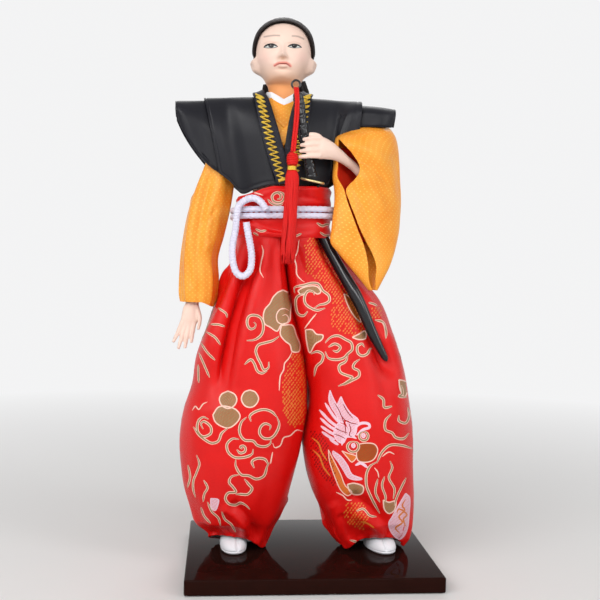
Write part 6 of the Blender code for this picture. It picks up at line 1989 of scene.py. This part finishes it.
SASH_SAMPLER = Sampler(225.0, 180.0, 13.07, (
    (Stitch.SCROLL, "690,150 750,170 775,225 745,280 690,295 635,275 615,225 640,180 690,165 725,195 "
                    "720,245 680,250"),
    (Stitch.FLAME, "560,250 600,300 680,330 760,310"),
    (Stitch.FINE, "200,190 300,160 400,170 500,200"),
    (Stitch.FLAME, "370,690 420,720 480,780"),
    (Stitch.FLAME, "400,640 470,670 540,660"),
    (Stitch.SCROLL, "1200,560 1270,600 1340,580 1400,620"),
    (Stitch.FLAME, "1240,680 1300,720 1390,720"),
    (Stitch.FLAME, "850,700 920,730 1000,700"),
))


@dataclass(frozen=True)
class Ornament:
    """Woven clouds, flames and a dragon's head over both legs and the sash."""

    lift: float = 0.07
    leg_turns: tuple[float, ...] = (0.0, 120.0, 240.0)
    sash_turns: tuple[float, ...] = (0.0, 180.0)

    def build(self, legs: Sequence[bpy.types.Object], sash: bpy.types.Object) -> None:
        """Lays the threads, repeating the front's ornament round each piece."""
        work = ((legs[0], "right_leg_ornament", RIGHT_LEG.centre, (CLOUDS_ABOVE_RIGHT, CLOUDS_BELOW_RIGHT)),
                (legs[1], "left_leg_ornament", LEFT_LEG.centre, (CLOUDS_ABOVE_LEFT, DRAGON_LEFT)))
        for cloth, name, centre, samplers in work:
            threads = Embroidery([cloth], self.lift)
            for degrees in self.leg_turns:
                threads.aim(centre, degrees)
                for sampler in samplers:
                    sampler.work(threads)
            threads.build(name, THREAD_FINISHES)
        threads = Embroidery([sash], self.lift)
        for degrees in self.sash_turns:
            threads.aim((BODY_X, 0.0), degrees)
            SASH_SAMPLER.work(threads)
        threads.build("sash_ornament", THREAD_FINISHES)


@dataclass(frozen=True)
class WaistCords:
    """The white braided cord: two turns round the sash and the loop that hangs from them."""

    radius: float = 1.65
    loop_radius: float = 1.9
    middle: float = 192.5
    apart: float = 1.75
    route: Rows = ((-26.6, -24.9, 193.4), (-29.2, -24.8, 197.0), (-32.6, -23.6, 199.2),
                   (-36.6, -21.0, 198.8), (-40.8, -20.6, 195.4), (-42.0, -20.6, 189.6),
                   (-42.4, -20.6, 182.9), (-43.7, -21.0, 176.3), (-44.0, -22.0, 169.4),
                   (-42.7, -23.2, 162.2), (-40.9, -23.8, 159.4), (-38.5, -24.2, 158.4),
                   (-36.2, -24.4, 159.5), (-34.3, -24.4, 162.6), (-33.9, -24.2, 169.6),
                   (-35.0, -24.0, 176.4), (-36.2, -23.8, 182.4), (-36.9, -23.7, 186.6))

    @staticmethod
    def braid(path: np.ndarray, sides: int, pitch: float, depth: float) -> np.ndarray:
        """Relief of a round braid: two families of strands crossing each other."""
        reach = distances(path)[:, None]
        angle = full_turn(sides + 1)
        turn = 2 * math.pi * reach / pitch
        return depth * (np.maximum(np.cos(4 * angle + turn), np.cos(4 * angle - turn)) - 0.5)

    def build(self) -> None:
        """Makes the loop first, as the free cord, then the two turns."""
        path = along(self.route, 620)
        rows = distances(path)[:, None]
        angle = full_turn(25)
        ribs = 0.30 * (np.abs(np.cos(math.pi * rows / 1.5 + 0.6 * np.cos(angle * 2))) - 0.6)
        loop = Bench.tube("hanging_cord_loop", path, self.loop_radius - 0.12, sides=24, relief=ribs)
        Bench.deliver(loop, [WHITE_CORD], ["waist_cord_loop"])
        turn = np.linspace(0, 2 * math.pi, 720, endpoint=False)
        for name, side in (("waist_cord_upper", 1), ("waist_cord_lower", -1)):
            ring = sash_ring(self.middle + side * self.apart, self.radius + 0.15, turn)
            ring[:, 2] += (ring[:, 0] - BODY_X) * 0.02
            even = self.evened(ring, 900)
            made = Bench.tube(name + "_braid", even, self.radius - 0.12, sides=24, side=(0, 0, 1),
                              relief=self.braid(even, 24, 3.1, 0.16), closed=True)
            Bench.deliver(made, [WHITE_CORD], [name])

    @staticmethod
    def evened(ring: np.ndarray, count: int) -> np.ndarray:
        """The same closed line with its points evenly apart."""
        closed = np.vstack([ring, ring[:1]])
        reach = distances(closed)
        at = np.linspace(0, reach[-1], count + 1)[:-1]
        return np.column_stack([np.interp(at, reach, closed[:, k]) for k in range(3)])


@dataclass(frozen=True)
class Sword:
    """The short sword in the sash: wrapped hilt, gilt guard, black scabbard and the pommel's ring."""

    hilt: Rows = ((-11.1, -23.8, 255.2), (-9.2, -24.0, 241.7), (-7.5, -24.0, 232.3), (-4.8, -23.2, 219.9),
                  (-2.8, -22.2, 211.1))
    scabbard: Rows = ((-1.4, -19.7, 206.8), (-0.4, -17.8, 204.4), (0.4, -15.2, 200.0), (1.4, -12.4, 192.0),
                      (3.4, -10.7, 184.0), (6.2, -10.8, 178.0), (13.4, -13.6, 164.6), (23.6, -18.3, 146.6),
                      (32.0, -20.4, 128.0), (39.6, -20.6, 113.9))
    wrap_pitch: float = 5.2
    guard_width: float = 6.8
    guard_shape: float = 0.78

    def build_hilt(self) -> None:
        """Makes the hilt with its crossed wrapping and end cap."""
        path = along(self.hilt, 260)
        share = np.linspace(0, 1, 260)
        angle = full_turn(41)
        reach = (share * length_of(path))[:, None]
        wound = math.pi * reach / self.wrap_pitch
        crossed = np.abs(np.sin(angle + wound)) * np.abs(np.sin(angle - wound))
        bound = ramp(share, 0.06, 0.09) * (1 - ramp(share, 0.95, 0.98))
        wrap = 0.3 * (np.clip(crossed * 2.2, 0, 1) - 0.8) * bound[:, None]
        cap = 0.14 * (1 - ramp(share, 0.05, 0.06)) + 0.2 * ramp(share, 0.97, 0.98)
        end = np.sqrt(np.clip(1 - (1 - np.clip(share / 0.035, 0, 1)) ** 2, 0.02, 1))
        wide = (3.0 - 0.6 * (1 - ramp(share, 0.0, 0.12)) + cap) * end
        made = Bench.tube("wrapped_hilt", path, wide, wide * 0.8, 40, relief=wrap)
        Bench.deliver(made, [BLACK_GLOSS], ["sword_hilt"])

    def build_guard(self) -> None:
        """Makes the guard: a gilt plate with a raised rim and a four-lobed edge."""
        angle = full_turn(129)
        lobes = 1 - 0.05 * np.abs(np.cos(2 * angle)) ** 6
        profile = ((0.0, -0.30), (0.50, -0.30), (0.74, -0.30), (0.80, -0.56), (0.92, -0.60), (0.985, -0.42),
                   (1.0, 0.0), (0.985, 0.42), (0.92, 0.60), (0.80, 0.56), (0.74, 0.30), (0.50, 0.30),
                   (0.0, 0.30))
        wide, deep = self.guard_width, self.guard_width * self.guard_shape
        points = np.array([placed(wide * r * lobes * np.cos(angle), deep * r * lobes * np.sin(angle), h)[0]
                           for r, h in profile])
        points[:, -1] = points[:, 0]
        tilt_x, tilt_y = math.radians(7), math.radians(11)
        turn = np.array(Matrix.Rotation(tilt_y, 3, "Y") @ Matrix.Rotation(tilt_x, 3, "X"))
        points = points @ turn.T + np.array((-2.3, -22.0, 209.2))
        made = Bench.grid("gilt_guard", points)
        Bench.deliver(made, [GILT], ["sword_guard"])

    def build_scabbard(self) -> None:
        """Makes the scabbard with its mouth band and end cap."""
        count = 240
        share = np.linspace(0, 1, count)
        wide = 2.8 * np.interp(share, [0, 0.3, 0.5, 0.6, 0.85, 1.0], [1.0, 1.0, 1.1, 1.2, 0.95, 0.5])
        wide = wide + 0.10 * (1 - ramp(share, 0.03, 0.035)) + 0.12 * ramp(share, 0.93, 0.935)
        tip = np.sqrt(np.clip(1 - np.clip((share - 0.97) / 0.03, 0, 1) ** 2, 0.03, 1))
        wide = wide * tip
        made = Bench.tube("black_scabbard", along(self.scabbard, count), wide, wide * 0.72, 40)
        Bench.deliver(made, [BLACK_GLOSS], ["scabbard"])

    @staticmethod
    def build_ring() -> None:
        """Makes the small ring on the pommel."""
        Bench.fresh()
        bpy.ops.mesh.primitive_torus_add(major_segments=64, minor_segments=16, major_radius=2.2 * MM,
                                         minor_radius=0.55 * MM, location=(-0.012, -0.024, 0.259),
                                         rotation=(math.radians(90), 0, 0))
        ring = bpy.context.object
        ring.name = "black_pommel_ring"
        bpy.ops.object.transform_apply(location=True, rotation=True, scale=True)
        bpy.ops.object.shade_smooth()
        Bench.deliver(ring, [BLACK_GLOSS], ["pommel_ring"])

    def build(self) -> None:
        """Makes the whole sword."""
        self.build_hilt()
        self.build_guard()
        self.build_scabbard()
        self.build_ring()


@dataclass(frozen=True)
class Tassel:
    """The red tassel: doubled cord from the ring, wound knot, gold band and a skirt of threads."""

    route: Rows = ((-12.1, -26.1, 257.0), (-11.6, -28.2, 250.0), (-11.9, -28.6, 240.0),
                   (-12.8, -28.8, 229.6), (-13.4, -28.8, 223.4))
    skirt: Rows = ((213.6, -13.8, 1.9), (211.4, -13.6, 3.0), (204.0, -13.7, 3.3), (194.0, -14.2, 3.2),
                   (184.0, -14.6, 3.4), (175.0, -14.9, 3.6), (168.0, -15.1, 3.4), (164.6, -15.2, 3.0))
    knot_x: float = -13.6
    band_x: float = -13.8
    axis_y: float = -28.6
    skirt_y: float = -28.4

    def build_cord(self) -> bpy.types.Object:
        """Makes the two twisted strands of the cord."""
        middle = along(self.route, 260)
        reach = np.linspace(0, length_of(middle), 260)
        strands = []
        for side in (-1, 1):
            turn = 0.5 * np.sin(reach * 0.20) + 0.1
            path = middle + np.column_stack([side * 0.66 * np.cos(turn), side * 0.4 * np.sin(turn), 0 * turn])
            angle = full_turn(13)
            twist = 0.07 * np.cos(2 * angle + 2 * math.pi * reach[:, None] / 1.4)
            strands.append(Bench.tube("strand", path, 0.72, sides=12, relief=twist))
        return Bench.deliver(Bench.merged("tassel_twin_cord", strands), [RED_CORD], ["tassel_cord"])

    def build_knot(self) -> bpy.types.Object:
        """Makes the knot: turns of cord wound over a small core."""
        rows = Profile(((216.2, 0.62), (216.9, 0.84), (218.4, 1.0), (220.4, 1.0), (222.0, 0.80),
                        (222.9, 0.42)))
        z = np.linspace(216.4, 222.7, 220)
        radius = rows.read(z, 1) * 2.45
        turn = np.linspace(0, 2 * math.pi * 5.5, 220)
        coil = np.column_stack([self.knot_x + radius * np.cos(turn), self.axis_y + radius * np.sin(turn), z])
        wound = Bench.tube("winding", coil, 0.66, sides=12, side=(0, 0, 1))
        core_path = placed(self.knot_x, self.axis_y, np.linspace(216.0, 223.2, 30))
        core = Bench.tube("core", core_path, rows.read(core_path[:, 2], 1) * 2.1, sides=24)
        return Bench.deliver(Bench.merged("wound_knot", [wound, core]), [RED_CORD], ["tassel_knot"])

    def build_band(self) -> bpy.types.Object:
        """Makes the gold thread band over the skirt's neck."""
        z = np.linspace(213.9, 215.9, 60)
        path = placed(self.band_x, self.axis_y, z)
        ribs = 0.10 * np.cos((z - 213.9) * 2 * math.pi / 0.5)[:, None] * np.ones((1, 41))
        made = Bench.tube("gold_tassel_band", path, 2.22, sides=40, relief=ribs)
        return Bench.deliver(made, [GOLD_BRAID], ["tassel_band"])

    def build_skirt(self) -> bpy.types.Object:
        """Makes the skirt's threads, a little uneven at their ends."""
        chance = np.random.default_rng(7)
        table = Profile([(-row[0], *row[1:]) for row in self.skirt])
        thick = np.interp(np.arange(26), [0, 24, 25], [0.40, 0.36, 0.2])
        threads = []
        for k in range(96):
            ring = 1.0 if k < 54 else (0.66 if k < 84 else 0.3)
            angle = GOLDEN_ANGLE * k + chance.uniform(-0.1, 0.1)
            end = 164.8 + chance.uniform(0.0, 5.0)
            z = np.linspace(214.2, end, 26)
            radius = table.read(-z, 2) * ring
            sway = chance.uniform(-0.25, 0.25) * ramp(-z, -205, -170)
            wander = angle + 0.14 * np.sin(z * 0.16 + k) + sway
            path = np.column_stack([table.read(-z, 1) + radius * np.cos(wander),
                                    self.skirt_y + radius * 0.82 * np.sin(wander), z])
            threads.append(Bench.tube("thread", path, thick, sides=6))
        return Bench.deliver(Bench.merged("thread_skirt", threads), [RED_CORD], ["tassel_skirt"])

    def build(self) -> None:
        """Makes the tassel."""
        cord = self.build_cord()
        others = [self.build_knot(), self.build_band(), self.build_skirt()]


@dataclass(frozen=True)
class Studio:
    """Pale floor and background with soft lamps."""

    pale: tuple[float, float, float, float] = (0.90, 0.90, 0.905, 1.0)

    def floor(self) -> None:
        """Lays the floor."""
        Bench.fresh()
        bpy.ops.mesh.primitive_plane_add(size=6.0, location=(0, 0, -0.0005))
        floor = bpy.context.object
        floor.name = "studio_floor"
        made = bpy.data.materials.new("studio_floor")
        made.use_nodes = True
        graph = Graph(made.node_tree)
        shader = made.node_tree.nodes["Principled BSDF"]
        noise = graph.add("TexNoise", Scale=3.0, Detail=2.0)
        colour = graph.mix(noise.outputs["Fac"], (0.80, 0.79, 0.78), (0.86, 0.85, 0.84))
        graph.tree.links.new(colour, shader.inputs["Base Color"])
        shader.inputs["Roughness"].default_value = 0.8
        source = graph.add("TexCoord")
        away = graph.add("VectorMath:LENGTH", i0=source.outputs["Object"])
        far = graph.add("MapRange", i0=away.outputs["Value"], i1=0.10, i2=0.75)
        path = graph.add("LightPath")
        seen = graph.math("MAXIMUM", path.outputs["Is Camera Ray"], path.outputs["Is Glossy Ray"])
        share = graph.math("MULTIPLY", far.outputs[0], seen)
        pale = graph.add("Emission", Color=self.pale, Strength=1.0)
        graph.blend(share, shader, pale, "Material Output")
        floor.data.materials.append(made)

    def world(self) -> None:
        """Sets the even sky, white where it is looked at directly."""
        world = bpy.data.worlds.new("studio_world")
        bpy.context.scene.world = world
        world.use_nodes = True
        graph = Graph(world.node_tree)
        even = world.node_tree.nodes["Background"]
        even.inputs["Color"].default_value = (1.0, 0.99, 0.98, 1.0)
        even.inputs["Strength"].default_value = 0.27
        seen = graph.add("Background", Color=self.pale, Strength=1.0)
        path = graph.add("LightPath")
        straight = graph.math("MAXIMUM", path.outputs["Is Camera Ray"], path.outputs["Is Transmission Ray"])
        either = graph.math("MAXIMUM", straight, path.outputs["Is Glossy Ray"])
        graph.blend(either, even, seen, "World Output")

    @staticmethod
    def lamp(name: str, place: Point, target: Point, size: tuple[float, float], watts: float) -> None:
        """Adds one soft lamp of a width and height, looking at a place, in metres."""
        Bench.fresh()
        bpy.ops.object.light_add(type="AREA", location=place)
        lamp = bpy.context.object
        lamp.name = name
        lamp.data.shape = "RECTANGLE"
        lamp.data.size, lamp.data.size_y = size
        lamp.data.energy = watts
        way = Vector(target) - Vector(place)
        lamp.rotation_euler = way.to_track_quat("-Z", "Y").to_euler()

    def build(self) -> None:
        """Sets up the studio."""
        bpy.context.scene.view_settings.view_transform = "Standard"
        self.floor()
        self.world()
        self.lamp("key_lamp", (-0.70, -0.75, 0.90), (0.0, 0.0, 0.17), (1.0, 0.24), 5.0)
        self.lamp("strip_lamp", (-0.30, -0.95, 0.52), (0.0, 0.0, 0.24), (1.7, 0.15), 7.0)
        self.lamp("side_lamp", (0.80, -0.65, 0.50), (0.0, 0.0, 0.15), (0.3, 0.6), 3.2)
        self.lamp("back_lamp", (0.1, 0.8, 0.9), (0.0, 0.0, 0.18), (0.8, 0.4), 2.0)


@dataclass(frozen=True)
class Keepers:
    """The solids that stay as they are, hidden under the clothes."""

    dressed: tuple[tuple[str, Finish], ...] = (("torso_core", STUFFING), ("right_arm_wire", WIRE),
                                               ("left_arm_wire", WIRE))

    def build(self) -> None:
        """Gives each its finish."""
        for name, finish in self.dressed:
            mesh = frame["nodes"][name].data
            if not mesh.materials:
                mesh.materials.append(finish.build())
            for index in range(len(mesh.materials)):
                frame["nodes"][name].material_slots[index].material = finish.build()


def main() -> None:
    """Builds the camera and the cords, then every other piece in order."""
    logging.basicConfig(level=logging.INFO, format="%(message)s")
    VIEW.build()
    WaistCords().build()
    Tassel().build()
    Keepers().build()
    Plinth().build()
    Foot("right_foot", -40.9, -3.4, math.radians(3)).build()
    Foot("left_foot", 40.0, -6.0, math.radians(16)).build()
    Ornament().build([RIGHT_LEG.build(), LEFT_LEG.build()], Sash().build())
    Kimono().build()
    Head().build()
    for piece in VEST_PIECES:
        piece.build()
    RIGHT_LAPEL.build()
    LEFT_LAPEL.build()
    RightArm().build()
    LeftArm().build()
    Sword().build()
    Studio().build()


if __name__ == "__main__":
    main()
